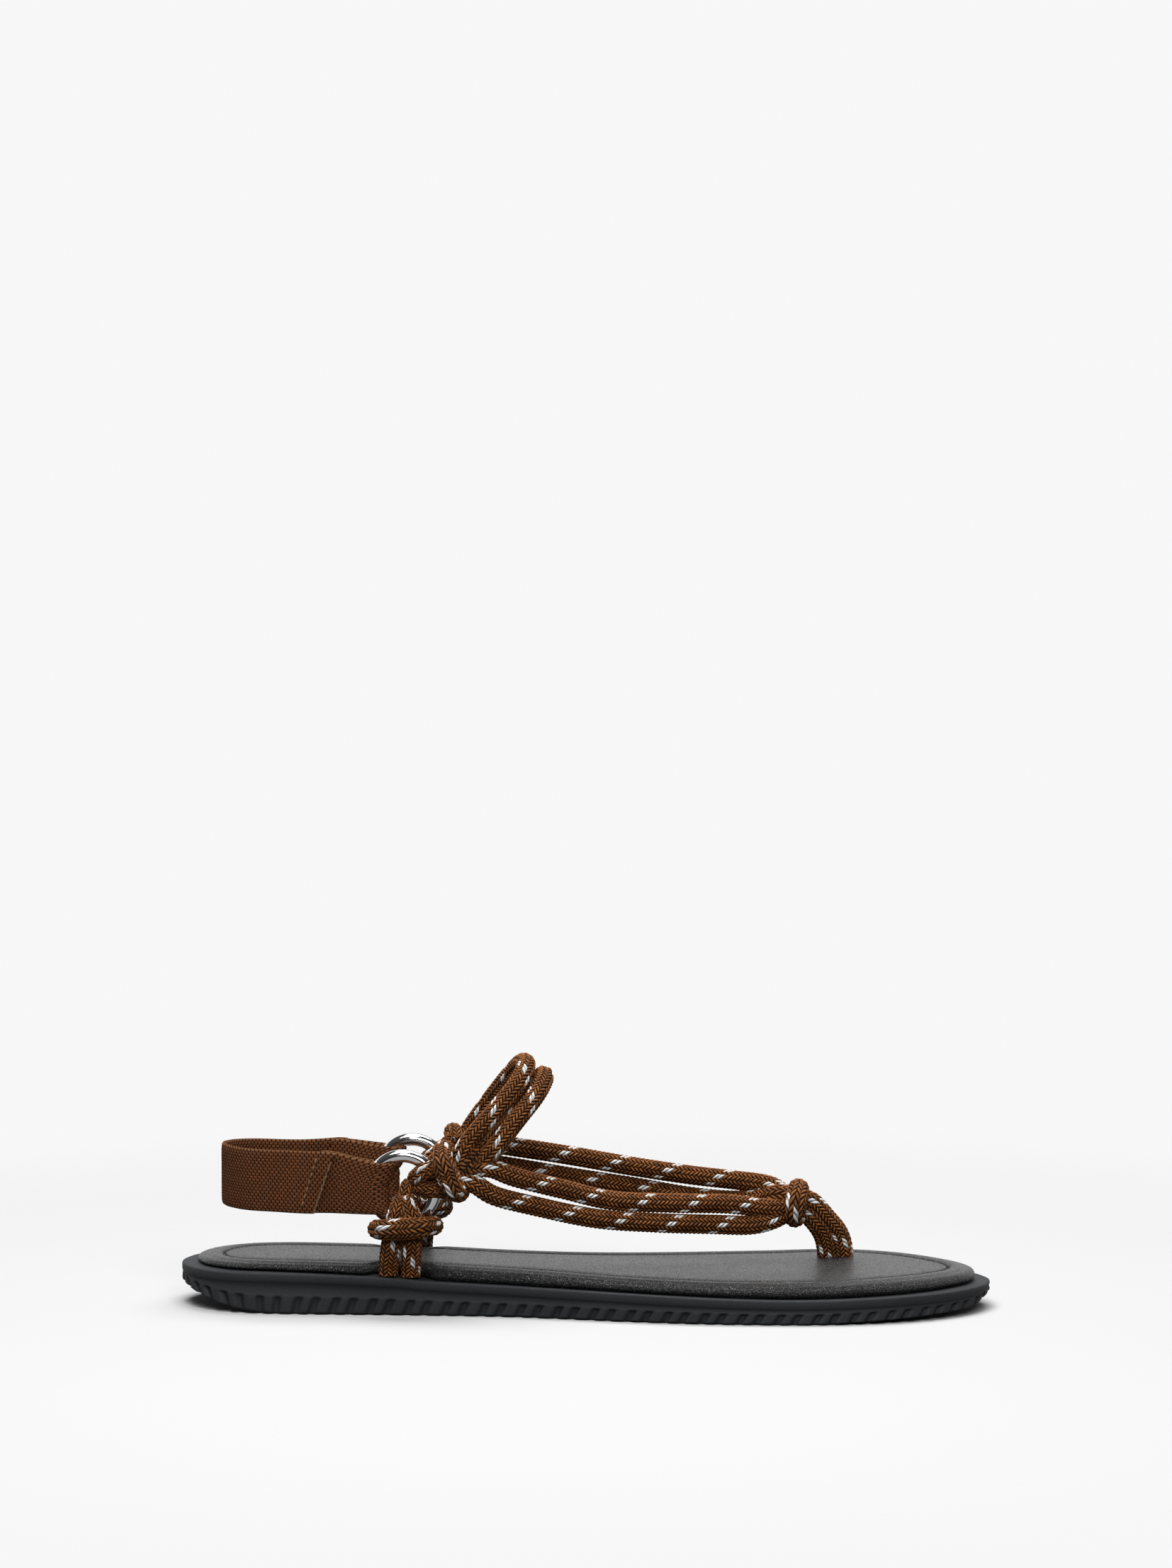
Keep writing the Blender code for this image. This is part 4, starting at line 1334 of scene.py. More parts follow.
    def patch_stitches(self) -> bpy.types.Object:
        """Build the dark stitches across both sewn patches.

        Returns:
            The piece.
        """
        surface = Surface()
        spin = np.array(Matrix.Rotation(-PATCH_LEAN, 3, "Y"))
        share = np.linspace(-1.0, 1.0, 5)
        rows = (-0.62, -0.31, 0.0, 0.31, 0.62)
        runs = [((-0.55, row), (0.55, row)) for row in rows]
        runs += [((edge, row), (edge, row + 0.28)) for edge in (-0.55, 0.55) for row in rows[:-1]]
        for side in Side:
            centre = np.array(place(*PATCH)) * (1.0, side.value, 1.0)
            for start, end in runs:
                spots = np.array(start) + (np.array(end) - start) * (share[:, None] + 1) / 2
                dome = np.sqrt(np.clip(1 - spots[:, 0]**2 - spots[:, 1]**2, 0.0, 1.0))
                lift = side.value * (dome + 0.06 - 0.16 * share**4)
                path = np.column_stack([spots[:, 0], lift, spots[:, 1]]) * PATCH_SIZES
                thread_run(surface, path @ spin.T + centre, 0.00024, 0.0008)
        return settle(surface.build("patch_stitches"), Slot.ROPE, self.finishes.dark_thread)

    def strands(self, name: str, parts: dict[str, float]) -> bpy.types.Object:
        """Build some of the upper's strands as one piece.

        Args:
            name: The piece's name.
            parts: Names of rows in STRANDS, with the start of each one's braid.

        Returns:
            The piece.
        """
        surface = Surface()
        for part, start in parts.items():
            braided_tube(surface, self.shares(STRANDS[part]), start)
        return settle(surface.build(name), Slot.ROPE, self.finishes.rope, "rope_upper")

    def toe_post(self) -> bpy.types.Object:
        """Build the knot between the toes and the two strands of the post.

        Returns:
            The piece.
        """
        surface = Surface()
        for rows in POST_STRANDS:
            strand = self.shares(rows)
            x, y, _, radius = strand[-1]
            strand[-1] = (x, y, float(outsole_top(x)) + CLEARANCE, radius)
            braided_tube(surface, strand, 7.0)
        braided_tube(surface, self.shares(KNOT, BAR_RADIUS), 2.5)
        pressed_rope(surface, np.mean([place(*row) for row in KNOT], axis=0), KNOT_CORE, 0.0)
        return settle(surface.build("toe_post"), Slot.ROPE, self.finishes.rope, "rope_upper")

    def build(self) -> None:
        """Build every rope."""
        self.strands("lateral_strands", {"lateral_high": 4.0, "lateral_low": 9.0})
        self.strands("medial_strands", {"medial_high": 1.0, "medial_low": 6.0})
        self.strands("ankle_loops", {"ankle_back": 8.0, "ankle_front": 3.0})
        self.toe_post()
        self.patch_stitches()
        for side in Side:
            surface = Surface()
            self.hitch(surface, side, FRONT_ANGLE, FRONT_BAR_REACH, FRONT_BAR_HALF)
            self.sewn_ends(surface, side)
            made = surface.build(f"hitch_{side.name.lower()}")
            settle(made, Slot.ROPE, self.finishes.rope, "rope_upper")
            self.anchor(side)


@dataclass
class Rings:
    """The two polished rings.

    Attributes:
        finishes: The sandal's materials.
        around: Steps round each ring.
        section: Steps round its wire.
    """

    finishes: Finishes
    around: int = 128
    section: int = 32

    def build(self) -> None:
        """Build both rings."""
        for side in Side:
            centre = Ropework.ring_centre(side)
            turn = np.linspace(0.0, 2 * math.pi, self.around + 1)
            tube = 2 * math.pi * np.arange(self.section) / self.section
            reach = RING_RADIUS + WIRE_RADIUS * np.cos(tube)
            side_way = np.broadcast_to(WIRE_RADIUS * np.sin(tube), (self.around + 1, self.section))
            points = np.stack([
                centre[0] + np.cos(turn)[:, None] * reach,
                centre[1] + side_way,
                centre[2] + np.sin(turn)[:, None] * reach,
            ], axis=-1)
            surface = Surface()
            surface.plain(points, closed=True)
            name = side.name.lower()
            made = surface.build(f"polished_ring_{name}")
            settle(made, Slot.RING, self.finishes.chrome, f"ring_{name}")


@dataclass
class Outsole:
    """The moulded outsole with its ribbed side.

    Attributes:
        finishes: The sandal's materials.
        edge: The outsole's edge.
        per_side: Stations on each side.
        columns: Points across its two faces.
        heel_round_length: Length of the rounded underside at the heel tip.
        heel_round_height: How far it rises there.
        toe_spring: Rise of the forefoot's underside, without its tip.
        toe_round_length: Length of the rounded underside at the toe tip.
        toe_round_height: How far it rises there.
        spring_start: Share of SOLE_LENGTH at which the spring starts.
        spring_curve: Power of the spring's curve.
        tread_inset: How far the underside is set in from the side.
        edge_round: Radius of the sole's edges.
        band_height: Height of the plain band under the top.
        band_step: How far the grooved part is set in from the band.
        groove_pitch: Distance of the grooves along the side.
        groove_width: Width of a groove.
        groove_depth: Depth of a groove.
        groove_share: Share of the side's height that is grooved.
        groove_pairing: Share of the pitch by which grooves pair up.
        groove_slant: How far a groove's top leans forward.
        slant_turn: Share of SOLE_LENGTH at which the lean changes hands.
        slant_turn_length: Share over which it does.
    """

    finishes: Finishes
    edge: Edge
    per_side: int = 520
    columns: int = 13
    heel_round_length: float = 0.034
    heel_round_height: float = 0.0076
    toe_spring: float = 0.0024
    toe_round_length: float = 0.008
    toe_round_height: float = 0.0030
    spring_start: float = 0.78
    spring_curve: float = 1.3
    tread_inset: float = 0.0030
    edge_round: float = 0.0006
    band_height: float = 0.0030
    band_step: float = 0.0004
    groove_pitch: float = 0.0060
    groove_width: float = 0.0028
    groove_depth: float = 0.0013
    groove_share: float = 0.45
    groove_pairing: float = 0.05
    groove_slant: float = 0.0022
    slant_turn: float = 0.10
    slant_turn_length: float = 0.06

    def underside(self, x: np.ndarray) -> np.ndarray:
        """Shape the sole's underside.

        Args:
            x: Places along the shoe.

        Returns:
            Heights over the ground.
        """
        from_heel, from_toe = x + SOLE_LENGTH / 2, SOLE_LENGTH / 2 - x
        start = self.spring_start * SOLE_LENGTH
        heel = np.clip(1 - from_heel / self.heel_round_length, 0, None) ** 2
        spring = np.clip((from_heel - start) / (SOLE_LENGTH - start), 0, None) ** self.spring_curve
        tip = np.clip(1 - from_toe / self.toe_round_length, 0, None) ** 2
        return (self.heel_round_height * heel + self.toe_spring * spring
                + self.toe_round_height * tip)

    def groove(self, s: np.ndarray, share: float) -> np.ndarray:
        """Return how deep the side's grooves are.

        Args:
            s: Places along the edge.
            share: Height from -0.5 at the tread to 0.5 at the top of the grooves.

        Returns:
            Depths in metres.
        """
        count = round(self.edge.half / self.groove_pitch)
        starts = self.edge.stations(count)
        pitch = starts[1] - starts[0]
        along = self.edge.at(starts)[:, 0] / SOLE_LENGTH + 0.5
        lean = np.clip((along - self.slant_turn) / self.slant_turn_length, -1.0, 1.0)
        forward = np.where(starts < self.edge.half, 1.0, -1.0)
        pairing = self.groove_pairing * pitch * np.where(np.arange(len(starts)) % 2, 1, -1)
        middles = starts + pairing + share * forward * lean * self.groove_slant + self.groove_width / 2
        middles = np.concatenate([middles - self.edge.total, middles, middles + self.edge.total])
        apart = np.abs(s[:, None] - np.sort(middles)[None]).min(axis=1) / (self.groove_width / 2)
        return self.groove_depth * np.clip(1.15 - 1.15 * apart**2.4, 0.0, 1.0)

    def build(self) -> bpy.types.Object:
        """Build the outsole.

        Returns:
            The piece.
        """
        s = self.edge.stations(self.per_side)
        x = self.edge.at(s)[:, 0]
        low, top = self.underside(x), outsole_top(x)
        groove_top = low + self.groove_share * (top - low)
        band_low = np.maximum(top - self.band_height, groove_top + self.edge_round)
        r = self.edge_round
        # Loops of inset, height and share of the grooves' depth, from the tread up
        loops = [(np.full(len(s), self.tread_inset), low, 0.0)]
        for bend in np.linspace(0.0, 1.0, 5)[1:]:
            inset = self.tread_inset * (1 - bend) ** 1.6
            loops.append((np.full(len(s), inset), low + r * bend**1.8, bend))
        for share in np.linspace(0.0, 1.0, 9)[1:]:
            fade = min(1.0, (1.0 - share) * 5.0) ** 0.5
            height = low + r + share * (groove_top - low - r)
            loops.append((self.band_step / 2 * share * np.ones(len(s)), height, fade))
        step, flush = np.full(len(s), self.band_step), np.zeros(len(s))
        loops += [
            (step * 0.9, groove_top + r * 0.5, 0.0),
            (step, 0.5 * (groove_top + r * 0.5 + band_low), 0.0),
            (step, band_low - r * 0.1, 0.0),
            (step * 0.4, band_low + r * 0.15, 0.0),
            (flush, band_low + r * 0.5, 0.0),
            (flush, 0.5 * (band_low + top), 0.0),
            (flush, top - r, 0.0),
            (flush + r * 0.29, top - r * 0.29, 0.0),
            (flush + r, top, 0.0),
            (flush + r * 3, top, 0.0),
        ]
        sheet = []
        for inset, height, groove_fade in loops:
            share = float(np.clip(np.mean((height - low) / (groove_top - low)), 0, 1)) - 0.5
            depth = self.groove(s, share) * groove_fade if groove_fade else 0.0
            flat = self.edge.inset(s, inset + depth)
            sheet.append(np.column_stack([flat, height]))
        surface = Surface()
        surface.wall(np.array(sheet), self.per_side, self.columns)
        return settle(surface.build("moulded_outsole"), Slot.OUTSOLE, self.finishes.rubber, "outsole")


@dataclass
class Footbed:
    """The padded footbed with its rolled edge, its sewn groove and the stitches in it.

    Attributes:
        finishes: The sandal's materials.
        edge: The outsole's edge.
        per_side: Stations on each side.
        columns: Points across its two faces.
        pocket_half: Half the length of the dent around an anchor's legs.
        pocket_depth: Depth of that dent.
        pocket_margin: Least distance of the groove from the dent.
        seam_inset: Distance of the groove from the pad's edge.
        seam_half: Half the groove's width.
        seam_depth: Its depth.
        stitch_length: Length of a stitch.
        stitch_gap: Distance between stitches.
        stitch_dip: How far the points of a stitch lie under its top.
        thread: Half the thread's thickness.
        puff: How far the padding swells beside the groove.
        wander: Unevenness of the rolled edge.
        inner: Distances from the groove over which the swelling inside it starts.
    """

    finishes: Finishes
    edge: Edge
    per_side: int = 460
    columns: int = 25
    pocket_half: float = 0.0125
    pocket_depth: float = 0.0066
    pocket_margin: float = 0.0052
    seam_inset: float = 0.0085
    seam_half: float = 0.0007
    seam_depth: float = 0.0010
    stitch_length: float = 0.0046
    stitch_gap: float = 0.0010
    stitch_dip: tuple[float, ...] = (0.0007, 0.0001, 0.0, 0.0001, 0.0007)
    thread: float = 0.00040
    puff: float = 0.00035
    wander: float = 0.00012
    inner: tuple[float, ...] = (0.0006, 0.0014, 0.0024)

    def pocket(self, x: np.ndarray) -> np.ndarray:
        """Draw the dent around an anchor's legs.

        Args:
            x: Places along the shoe.

        Returns:
            How far the edge is set in there.
        """
        middle = place(RING_ALONG, 0, 0)[0] + RING_RADIUS * math.cos(ANCHOR_ANGLE) - ANCHOR_SHIFT
        near = np.clip(np.abs(x - middle) / self.pocket_half, 0.0, 1.0)
        return self.pocket_depth * (0.5 + 0.5 * np.cos(math.pi * near**2))

    def seam(self, s: np.ndarray) -> np.ndarray:
        """Place the sewn groove.

        Args:
            s: Places along the outsole's edge.

        Returns:
            The groove's depth inside that edge.
        """
        x = self.edge.at(s)[:, 0]
        own = FOOTBED_ROLL * level(3, x)
        return own + np.maximum(self.seam_inset, self.pocket(x) + self.pocket_margin)

    def build(self) -> bpy.types.Object:
        """Build the pad and its stitches.

        Returns:
            The pad.
        """
        s = self.edge.stations(self.per_side)
        x = self.edge.at(s)[:, 0]
        own = FOOTBED_ROLL * level(3, x) + self.pocket(x)
        bottom = outsole_top(x) + CLEARANCE
        top = footbed_top(x)
        wave = self.wander * np.sin(s * 230.0) * np.sin(s * 91.0 + 1.0)
        sheet = []
        for inset, height in smooth_line(ROLL, 6):
            flat = self.edge.inset(s, own + FOOTBED_ROLL * inset + wave * (1 - height))
            sheet.append(np.column_stack([flat, bottom + height * (top - bottom)]))
        seam = self.seam(s)
        start = own + FOOTBED_ROLL
        for share in np.linspace(0.0, 1.0, 8)[1:]:
            inset = start + (seam - self.seam_half - start) * share
            lift = self.puff * math.sin(math.pi * share) ** 0.8
            sheet.append(np.column_stack([self.edge.inset(s, inset), top + lift]))
        for share in np.linspace(-1.0, 1.0, 9)[1:]:
            sink = self.seam_depth * math.cos(share * math.pi / 2) ** 1.4
            flat = self.edge.inset(s, seam + self.seam_half * share)
            sheet.append(np.column_stack([flat, top - sink]))
        for extra in self.inner:
            lift = self.puff * 0.8 * (extra / self.inner[-1]) ** 0.6
            flat = self.edge.inset(s, seam + self.seam_half + extra)
            sheet.append(np.column_stack([flat, top + lift]))
        surface = Surface()
        surface.wall(np.array(sheet), self.per_side, self.columns)
        made = settle(surface.build("padded_footbed"), Slot.FOOTBED, self.finishes.leather, "footbed")
        self.stitches()
        return made

    def stitches(self) -> bpy.types.Object:
        """Build the stitches that lie in the sewn groove.

        Returns:
            The piece.
        """
        fine = np.linspace(0.0, self.edge.total, 2400)
        flat = self.edge.inset(fine, self.seam(fine))
        line = np.column_stack([flat, footbed_top(flat[:, 0]) - self.seam_depth + self.thread])
        travelled = distances(line)
        pitch = travelled[-1] / round(travelled[-1] / (self.stitch_length + self.stitch_gap))
        surface = Surface()
        for start in np.arange(0.0, travelled[-1] - pitch / 2, pitch):
            where = start + np.linspace(0.0, self.stitch_length, 5)
            path = read_line(line, travelled, where)
            path[:, 2] -= np.array(self.stitch_dip)
            thread_run(surface, path, self.thread)
        return settle(surface.build("footbed_stitches"), Slot.FOOTBED, self.finishes.black_thread)


@dataclass
class HeelStrap:
    """The webbing: a band round the heel, and a loop through each ring sewn under the band's end.

    Attributes:
        finishes: The sandal's materials.
        width: Width of the webbing.
        thickness: Its thickness.
        ply: Distance between the middles of two layers.
        fold_width: Width of the webbing where it is folded round the wire.
        fold_reach: Length over which it narrows to that.
        fold_target: Distance of the fold's edge from the ring's middle.
        fold_lean: How far that edge leans over its width.
        crease: Depth of the crease in the fold.
        height: Height of the band's middle over the ground.
        tab_end: Share of SOLE_LENGTH at which the band ends.
        tab_slope: Half the distance by which that end leans.
        sag: How much lower the medial side hangs between its ends.
        hidden: Length of the loop under the band.
        ease: Length over which the band comes to lie on the loop.
        across: Steps over the width.
        step: Length of a step along the webbing.
        seam_inset: Distance of the stitches from the band's end.
        stitch_count: Stitches in each seam.
        stitch_dip: How far the points of a stitch lie under its top.
        thread: Half the thickness of the seam's thread.
        fray: Unevenness of the band's frayed end.
        fray_thread: Half the thickness of a frayed yarn.
        fray_rows: Rows of yarns over the end's thickness.
    """

    finishes: Finishes
    width: float = 0.0200
    thickness: float = 0.0015
    ply: float = 0.0018
    fold_width: float = 0.0165
    fold_reach: float = 0.0150
    fold_target: float = 0.0046
    fold_lean: float = 0.0022
    crease: float = 0.0008
    height: float = 0.0420
    tab_end: float = 0.1836
    tab_slope: float = 0.0033
    sag: float = 0.0020
    hidden: float = 0.0040
    ease: float = 0.0160
    across: int = 42
    step: float = 0.00050
    seam_inset: float = 0.0044
    stitch_count: int = 7
    stitch_dip: tuple[float, ...] = (0.0006, 0.0, -0.00008, 0.0, 0.0006)
    thread: float = 0.00030
    fray: float = 0.00022
    fray_thread: float = 0.00026
    fray_rows: int = 3

    def __post_init__(self) -> None:
        """Draw the lateral half of the strap's line, from the ring to the back of the heel."""
        self.line = smooth_line([place(a, -c, 0.0) for a, c in STRAP_LINE])
        self.line[:, 0] += Ropework.ring_centre(Side.LATERAL)[0] - RING_RADIUS - self.line[0, 0]
        self.travelled = distances(self.line)
        self.total = float(self.travelled[-1])
        self.ways = unit(np.gradient(self.line[:, :2], axis=0))
        self.share = np.linspace(-1.0, 1.0, self.across + 1)
        self.reach = np.sqrt(RING_RADIUS**2 - (self.share * self.fold_width / 2) ** 2)
        self.open = WIRE_RADIUS + CLEARANCE + self.thickness / 2
        half_line = len(self.line) // 2
        tab_x = self.tab_end * SOLE_LENGTH - SOLE_LENGTH / 2 + self.share * self.tab_slope
        self.tab = np.interp(-tab_x, -self.line[:half_line, 0], self.travelled[:half_line])

    @staticmethod
    def eased(share: np.ndarray) -> np.ndarray:
        """Return a share clamped to 0 and 1 with soft ends."""
        share = np.clip(share, 0.0, 1.0)
        return share * share * (3 - 2 * share)

    def fold(self, s: np.ndarray) -> np.ndarray:
        """Return 1 at the ring and 0 away from it, at places along the line."""
        return self.eased(1 - s / self.fold_reach)

    def at(self, s: np.ndarray, offset: np.ndarray) -> np.ndarray:
        """Return points at places along the line and distances inward from it.

        Args:
            s: Stations by shares.
            offset: The same.

        Returns:
            Stations by shares by 3.
        """
        spot = [np.interp(s, self.travelled, self.line[:, i]) for i in (0, 1)]
        way = [np.interp(s, self.travelled, self.ways[:, i]) for i in (0, 1)]
        fold = self.fold(s)
        width = self.width + (self.fold_width - self.width) * fold
        middle = self.height + (RING_HEIGHT - self.height) * fold
        return np.stack([
            spot[0] + (RING_RADIUS - self.reach) * fold + way[1] * offset,
            spot[1] - way[0] * offset,
            middle + self.share * width / 2,
        ], axis=-1)

    def placed(self, grid: np.ndarray, side: Side) -> np.ndarray:
        """Put points of the lateral half on a side.

        Args:
            grid: Points of the lateral half, turned to +Y.
            side: The side they go to.

        Returns:
            The points there; on the medial side they sag between the strap's ends.
        """
        moved = grid * (1.0, -float(side.value), 1.0)
        if side is Side.MEDIAL:
            share = (self.line[0, 0] - grid[..., 0]) / (self.line[0, 0] - self.line[-1, 0])
            moved[..., 2] -= self.sag * np.sin(math.pi * np.clip(share, 0.0, 1.0))
        return moved

    def band(self) -> tuple[np.ndarray, np.ndarray]:
        """Shape half of the band, from its end to the back of the heel.

        Returns:
            Its middle layer, stations by shares by 3, and their places along the line.
        """
        t = np.linspace(0.0, 1.0, round((self.total - float(self.tab.mean())) / self.step))[:, None]
        s = self.tab + t * (self.total - self.tab)
        inner = self.thickness / 2 + CLEARANCE
        offset = -self.ply + (inner + self.ply) * self.eased((s - self.tab) / self.ease)
        return self.at(s, offset), s

    def loop(self) -> tuple[np.ndarray, np.ndarray]:
        """Shape a loop, from under the band round the wire and back.

        Returns:
            Its middle layer, stations by shares by 3, and their distances along the cloth.
        """
        t = np.linspace(0.0, 1.0, round((float(self.tab.mean()) + self.hidden) / self.step))[:, None]
        s = (self.tab + self.hidden) * t
        front = self.at(s[::-1], -self.open * self.fold(s[::-1]))
        back = self.at(s, self.ply + (self.open - self.ply) * self.fold(s))
        target = -self.fold_target + self.fold_lean * np.clip(self.share, -0.2, 1.0)
        bulge = np.maximum(target + self.reach, self.open)
        bulge = bulge - self.crease * np.exp(-((self.share - 0.1) / 0.13) ** 2)
        turn = np.linspace(0.0, math.pi, 18)[1:-1, None]
        bend = self.at(np.zeros((len(turn), len(self.share))), -np.cos(turn) * self.open)
        bend[..., 0] += np.sin(turn) ** 0.8 * bulge
        around = np.broadcast_to(turn * self.open, bend.shape[:2])
        places = np.concatenate([-s[::-1], around, s + math.pi * self.open])
        return np.concatenate([front, bend, back]), places

    def cloth(self, surface: Surface, grid: np.ndarray, places: np.ndarray) -> None:
        """Add a sheet of webbing with its raised weave.

        Args:
            surface: The mesh it is added to.
            grid: Its middle layer, stations by shares by 3.
            places: Distances along the cloth, for the weave.
        """
        normals = unit(np.cross(unit(np.gradient(grid, axis=0)), unit(np.gradient(grid, axis=1))))
        wales = np.broadcast_to((self.share + 1) / 2 * self.width / WEB.wale, places.shape)
        weave = np.stack([wales, places / WEB.pitch], axis=-1)
        # The webbing is full over its width and thins out at its selvedges
        body = self.thickness / 2 * np.clip(1 - np.abs(self.share) ** 12 * 0.55, 0.0, 1.0)
        reach = (body[None] + WEB.raised(weave))[..., None]
        front, back = grid + normals * reach, grid - normals * reach
        loop = np.concatenate([front, back[:, ::-1]], axis=1)
        coordinates = np.concatenate([weave, weave[:, ::-1], weave[:, :1]], axis=1)
        surface.grid(loop, coordinates, closed=True)
        for end, inside in ((0, 1), (-1, -2)):
            cap = np.stack([front[end], back[end]])
            facing = (grid[end] - grid[inside]).mean(axis=0)
            surface.grid(cap, np.repeat(weave[end][None], 2, 0), closed=False, facing=facing)

    def build(self) -> None:
        """Build the band, the loops and their seams."""
        band, loops = Surface(), Surface()
        half, s = self.band()
        mirrored = self.placed(half, Side.MEDIAL)[-2::-1]
        along = np.concatenate([s, 2 * self.total - s[-2::-1]])
        self.cloth(band, np.concatenate([half, mirrored]), along)
        settle(band.build("heel_band"), Slot.WEBBING, self.finishes.web, "heel_strap")
        loop, places = self.loop()
        for side in Side:
            self.cloth(loops, self.placed(loop, side), places)
        settle(loops.build("ring_loops"), Slot.WEBBING, self.finishes.web, "heel_strap")
        self.seams(half)

    def seams(self, half: np.ndarray) -> None:
        """Build the frayed end of the band and the stitches beside it.

        Args:
            half: The lateral half of the band.
        """
        edges, stitches = Surface(), Surface()
        row = round(self.seam_inset / self.step)
        count = np.arange(len(self.share))
        for side in Side:
            band = self.placed(half, side)
            out = np.array([0.0, float(side.value), 0.0])
            for strand in range(self.fray_rows):
                rough = self.fray * np.sin(count * (1.3 + 0.7 * strand) + strand)
                rise = self.thickness * (0.45 - 0.38 * strand) + 0.5 * rough
                line = band[0] + out * rise[:, None] + np.outer(rough + 0.0001, (1.0, 0.0, 0.0))
                for start in range(0, len(line) - 8, 7):
                    thread_run(edges, line[start:start + 9:2], self.fray_thread, 0.0009)
            seam = band[row] + out * (self.thickness / 2 + 0.4 * self.thread)
            line = resample(seam[4:-4], 80)
            travelled = distances(line)
            pitch = travelled[-1] / self.stitch_count
            for start in np.arange(self.stitch_count) * pitch:
                where = start + np.linspace(0.12, 0.88, 5) * pitch
                path = read_line(line, travelled, where)
                path -= out * np.array(self.stitch_dip)[:, None]
                thread_run(stitches, path, self.thread, 0.0009)
        settle(edges.build("band_ends"), Slot.WEBBING, self.finishes.brown_thread)
        settle(stitches.build("band_stitches"), Slot.WEBBING, self.finishes.brown_thread)


LAMPS = (
    # name, spot, width and height, watts
    ("overhead", (-0.25, -0.42, 1.30), (0.7, 0.5), 9.5),
    ("rear", (0.10, 0.38, 1.25), (1.0, 0.6), 13.0),
    ("front", (0.20, -1.25, 0.85), (0.9, 0.5), 9.0),
)


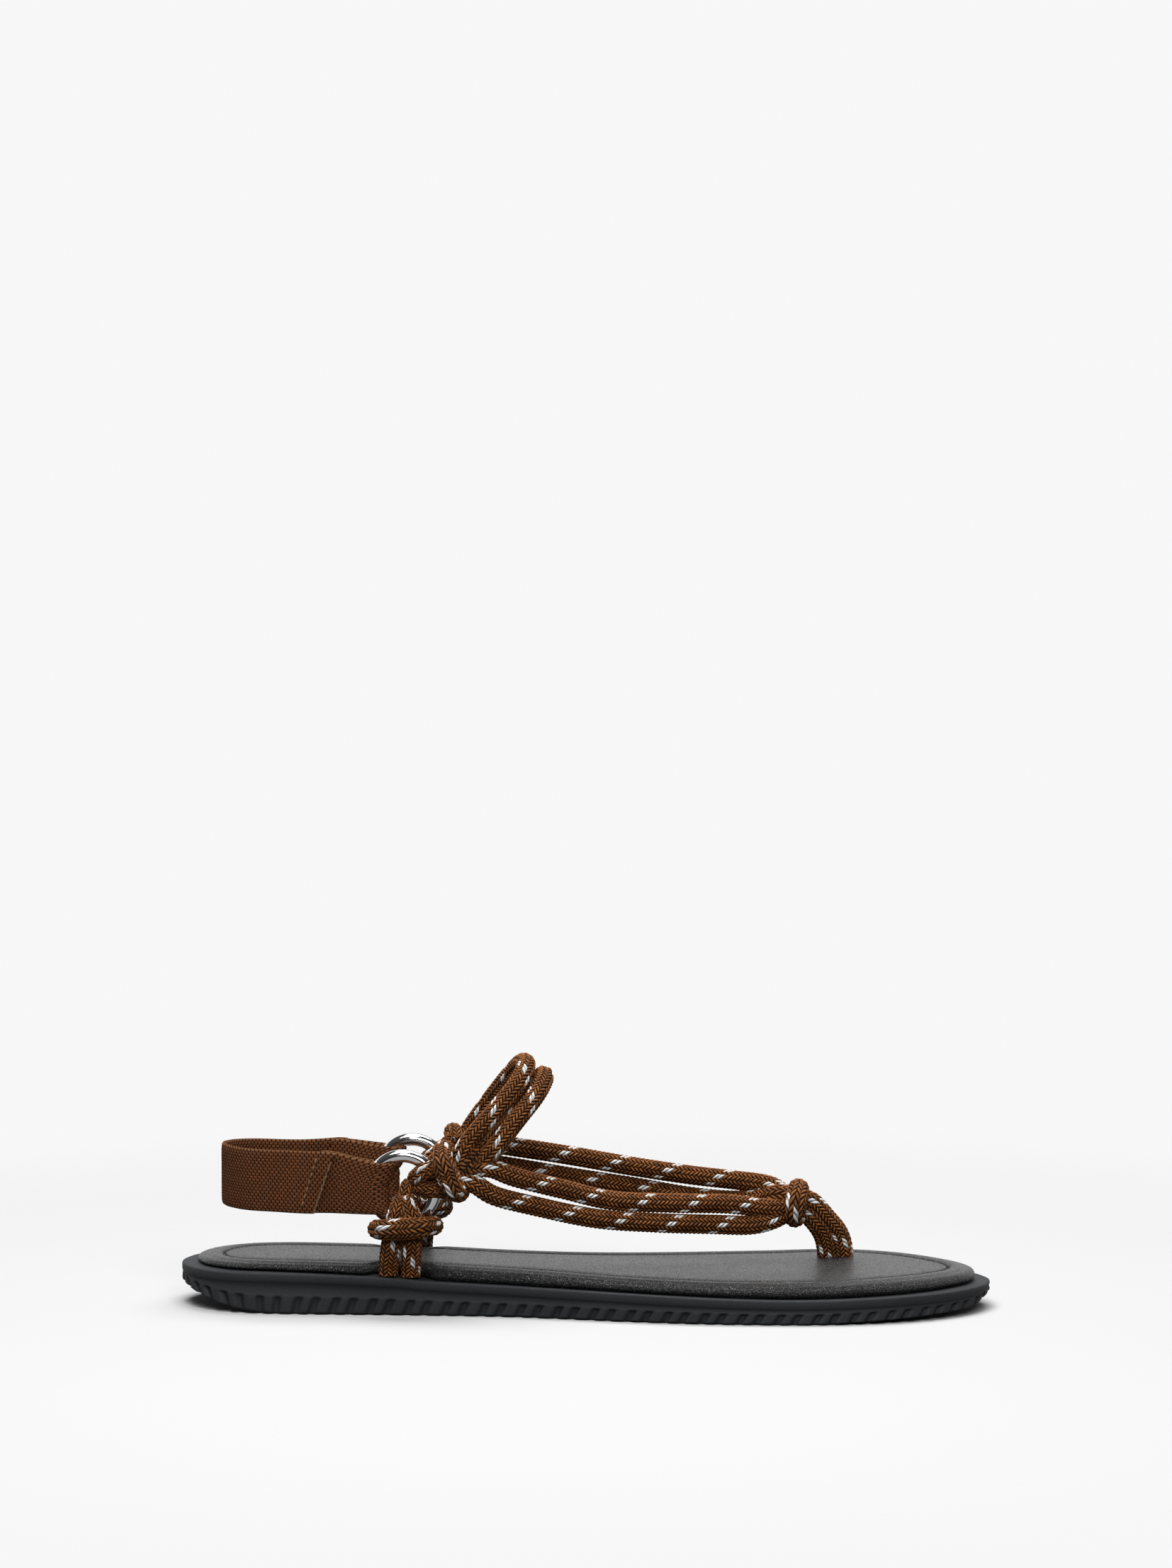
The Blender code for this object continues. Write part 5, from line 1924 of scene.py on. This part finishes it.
@dataclass
class Studio:
    """The floor, the lights and the camera.

    Attributes:
        scale: Pixels of the picture for a metre at the sandal.
        distance: Metres from the camera to the sandal along its view.
        azimuth: How far round the camera stands from the lateral side.
        elevation: How far it looks down.
        down: Picture pixels by which the sandal lies below the picture's middle.
        right: Picture pixels by which it lies right of it.
        picture_height: The picture's height in pixels.
        sensor: Size of the sensor, in millimetres.
        flat_radius: Radius of the flat floor.
        sweep_radius: Radius of its sweep into the wall.
        wall_height: Height of the wall.
        paint: The floor's brightness near the sandal.
        gleam: Its brightness in reflections.
        bounce: Its brightness for light thrown back on the sandal.
        backdrop: Brightness with which the floor and the wall farther off glow, seen by the camera and in
            reflections.
        near: Distance from the sandal at which the paint starts to turn into backdrop.
        far: Distance at which it has.
        room: Strength of the room's even light.
    """

    scale: float = 4352.0
    distance: float = 2.2
    azimuth: float = math.radians(3.0)
    elevation: float = math.radians(9.0)
    down: float = 732.2
    right: float = -1.4
    picture_height: float = 2212.0
    sensor: float = 36.0
    flat_radius: float = 3.4
    sweep_radius: float = 1.0
    wall_height: float = 3.2
    paint: float = 0.70
    gleam: float = 0.28
    bounce: float = 0.09
    backdrop: float = 0.934
    near: float = 0.19
    far: float = 0.46
    room: float = 0.07

    @staticmethod
    def grey(value: float) -> Colour:
        """Return a grey."""
        return (value, value, value, 1.0)

    def floor(self) -> None:
        """Build a pale floor that sweeps up into a wall all round."""
        bend = np.linspace(0.0, math.pi / 2, 13)
        flat = (0.001, 0.5, 1.5, 2.5)
        sweep = self.flat_radius + self.sweep_radius * np.sin(bend)
        rise = self.sweep_radius * (1 - np.cos(bend))
        radii = np.concatenate([flat, sweep, [self.flat_radius + self.sweep_radius]])
        heights = np.concatenate([np.zeros(len(flat)), rise, [self.wall_height]])
        angle = 2 * math.pi * np.arange(96) / 96
        points = np.stack([
            radii[:, None] * np.cos(angle), radii[:, None] * np.sin(angle),
            np.broadcast_to(heights[:, None], (len(radii), len(angle))),
        ], axis=-1)
        surface = Surface()
        surface.plain(points, closed=True, facing=(0.0, 0.0, 1.0))
        made = surface.build("studio_floor")
        paint = bpy.data.materials.new("pale_floor")
        paint.use_nodes = True
        g = Graph(paint.node_tree)
        shader = paint.node_tree.nodes["Principled BSDF"]
        rays = g.node("LightPath").outputs
        bounced = rays["Is Diffuse Ray"]
        spot = g.node("TexCoord").outputs["Object"]
        reach = g.node("VectorMath", {0: spot}, operation="LENGTH").outputs["Value"]
        behind = g.spread(g.node("SeparateXYZ", {0: spot}).outputs[1], -0.60, 0.0)
        far = g.node("MapRange", {0: reach, 1: self.near, 2: self.far},
                     interpolation_type="SMOOTHSTEP").outputs[0]
        # The far floor and wall glow with the backdrop's brightness for the camera, and in reflections of
        # the rear half, though they are no lamp; they throw no light back on the sandal. Near the sandal
        # the floor is darker in light thrown back (bounce) and in reflections (gleam) than it looks to
        # the camera
        seen = g.math("MAXIMUM", rays["Is Camera Ray"], behind)
        glow = g.math("MULTIPLY", g.math("MULTIPLY", far, seen), g.math("SUBTRACT", 1.0, bounced))
        near = g.mix(bounced, self.grey(self.paint), self.grey(self.bounce))
        near = g.mix(rays["Is Glossy Ray"], near, self.grey(self.gleam))
        g.feed(shader.inputs["Base Color"], g.mix(glow, near, self.grey(0.0)))
        shader.inputs["Emission Color"].default_value = self.grey(self.backdrop)
        g.feed(shader.inputs["Emission Strength"], glow)
        shader.inputs["Roughness"].default_value = 0.9
        shader.inputs["Specular IOR Level"].default_value = 0.0
        made.data.materials.append(paint)

    def light(self, name: str, spot: Point, size: tuple[float, float], power: float,
              aim: Point = (0.0, 0.0, 0.03)) -> None:
        """Add a soft rectangular light.

        Args:
            name: Its name.
            spot: Where it hangs.
            size: Its width and height.
            power: Watts.
            aim: The point it faces.
        """
        data = bpy.data.lights.new(name, "AREA")
        data.shape = "RECTANGLE"
        data.size, data.size_y = size
        data.energy = power
        made = bpy.data.objects.new(name, data)
        made.location = spot
        made.rotation_euler = (Vector(aim) - Vector(spot)).to_track_quat("-Z", "Y").to_euler()
        bpy.context.scene.collection.objects.link(made)

    def lights(self) -> None:
        """Add the lights and the even light of the room."""
        for lamp in LAMPS:
            self.light(*lamp)
        world = bpy.data.worlds.new("room")
        world.use_nodes = True
        shade = world.node_tree.nodes["Background"]
        shade.inputs["Color"].default_value = self.grey(1.0)
        shade.inputs["Strength"].default_value = self.room
        bpy.context.scene.world = world
        bpy.context.scene.view_settings.view_transform = "Standard"

    def camera(self) -> None:
        """Add the camera at the picture's angle, aimed so that the sandal lies where it does there."""
        focal = self.scale * self.distance
        tilt = self.elevation - math.atan(self.down / focal)
        right = Vector((math.cos(self.azimuth), math.sin(self.azimuth), 0.0))
        level_way = Vector((-math.sin(self.azimuth), math.cos(self.azimuth), 0.0))
        forward = level_way * math.cos(tilt) - Vector((0.0, 0.0, math.sin(tilt)))
        up = right.cross(forward)
        offset = self.distance * (forward + right * (self.right / focal) - up * (self.down / focal))
        data = bpy.data.cameras.new("camera")
        data.sensor_width = self.sensor
        data.lens = focal * self.sensor / self.picture_height
        data.clip_start, data.clip_end = 0.05, 30.0
        made = bpy.data.objects.new("camera", data)
        turn = Matrix((right, up, -forward)).transposed().to_4x4()
        made.matrix_world = Matrix.Translation(-offset) @ turn
        bpy.context.scene.collection.objects.link(made)
        bpy.context.scene.camera = made

    def build(self) -> None:
        """Build the whole studio."""
        self.floor()
        self.lights()
        self.camera()


def main() -> None:
    logging.basicConfig(level=logging.INFO, format="%(name)s %(message)s")
    Studio().build()
    finishes = Finishes()
    edge = Edge()
    Outsole(finishes, edge).build()
    Footbed(finishes, edge).build()
    Ropework(finishes).build()
    Rings(finishes).build()
    HeelStrap(finishes).build()


if __name__ == "__main__":
    main()
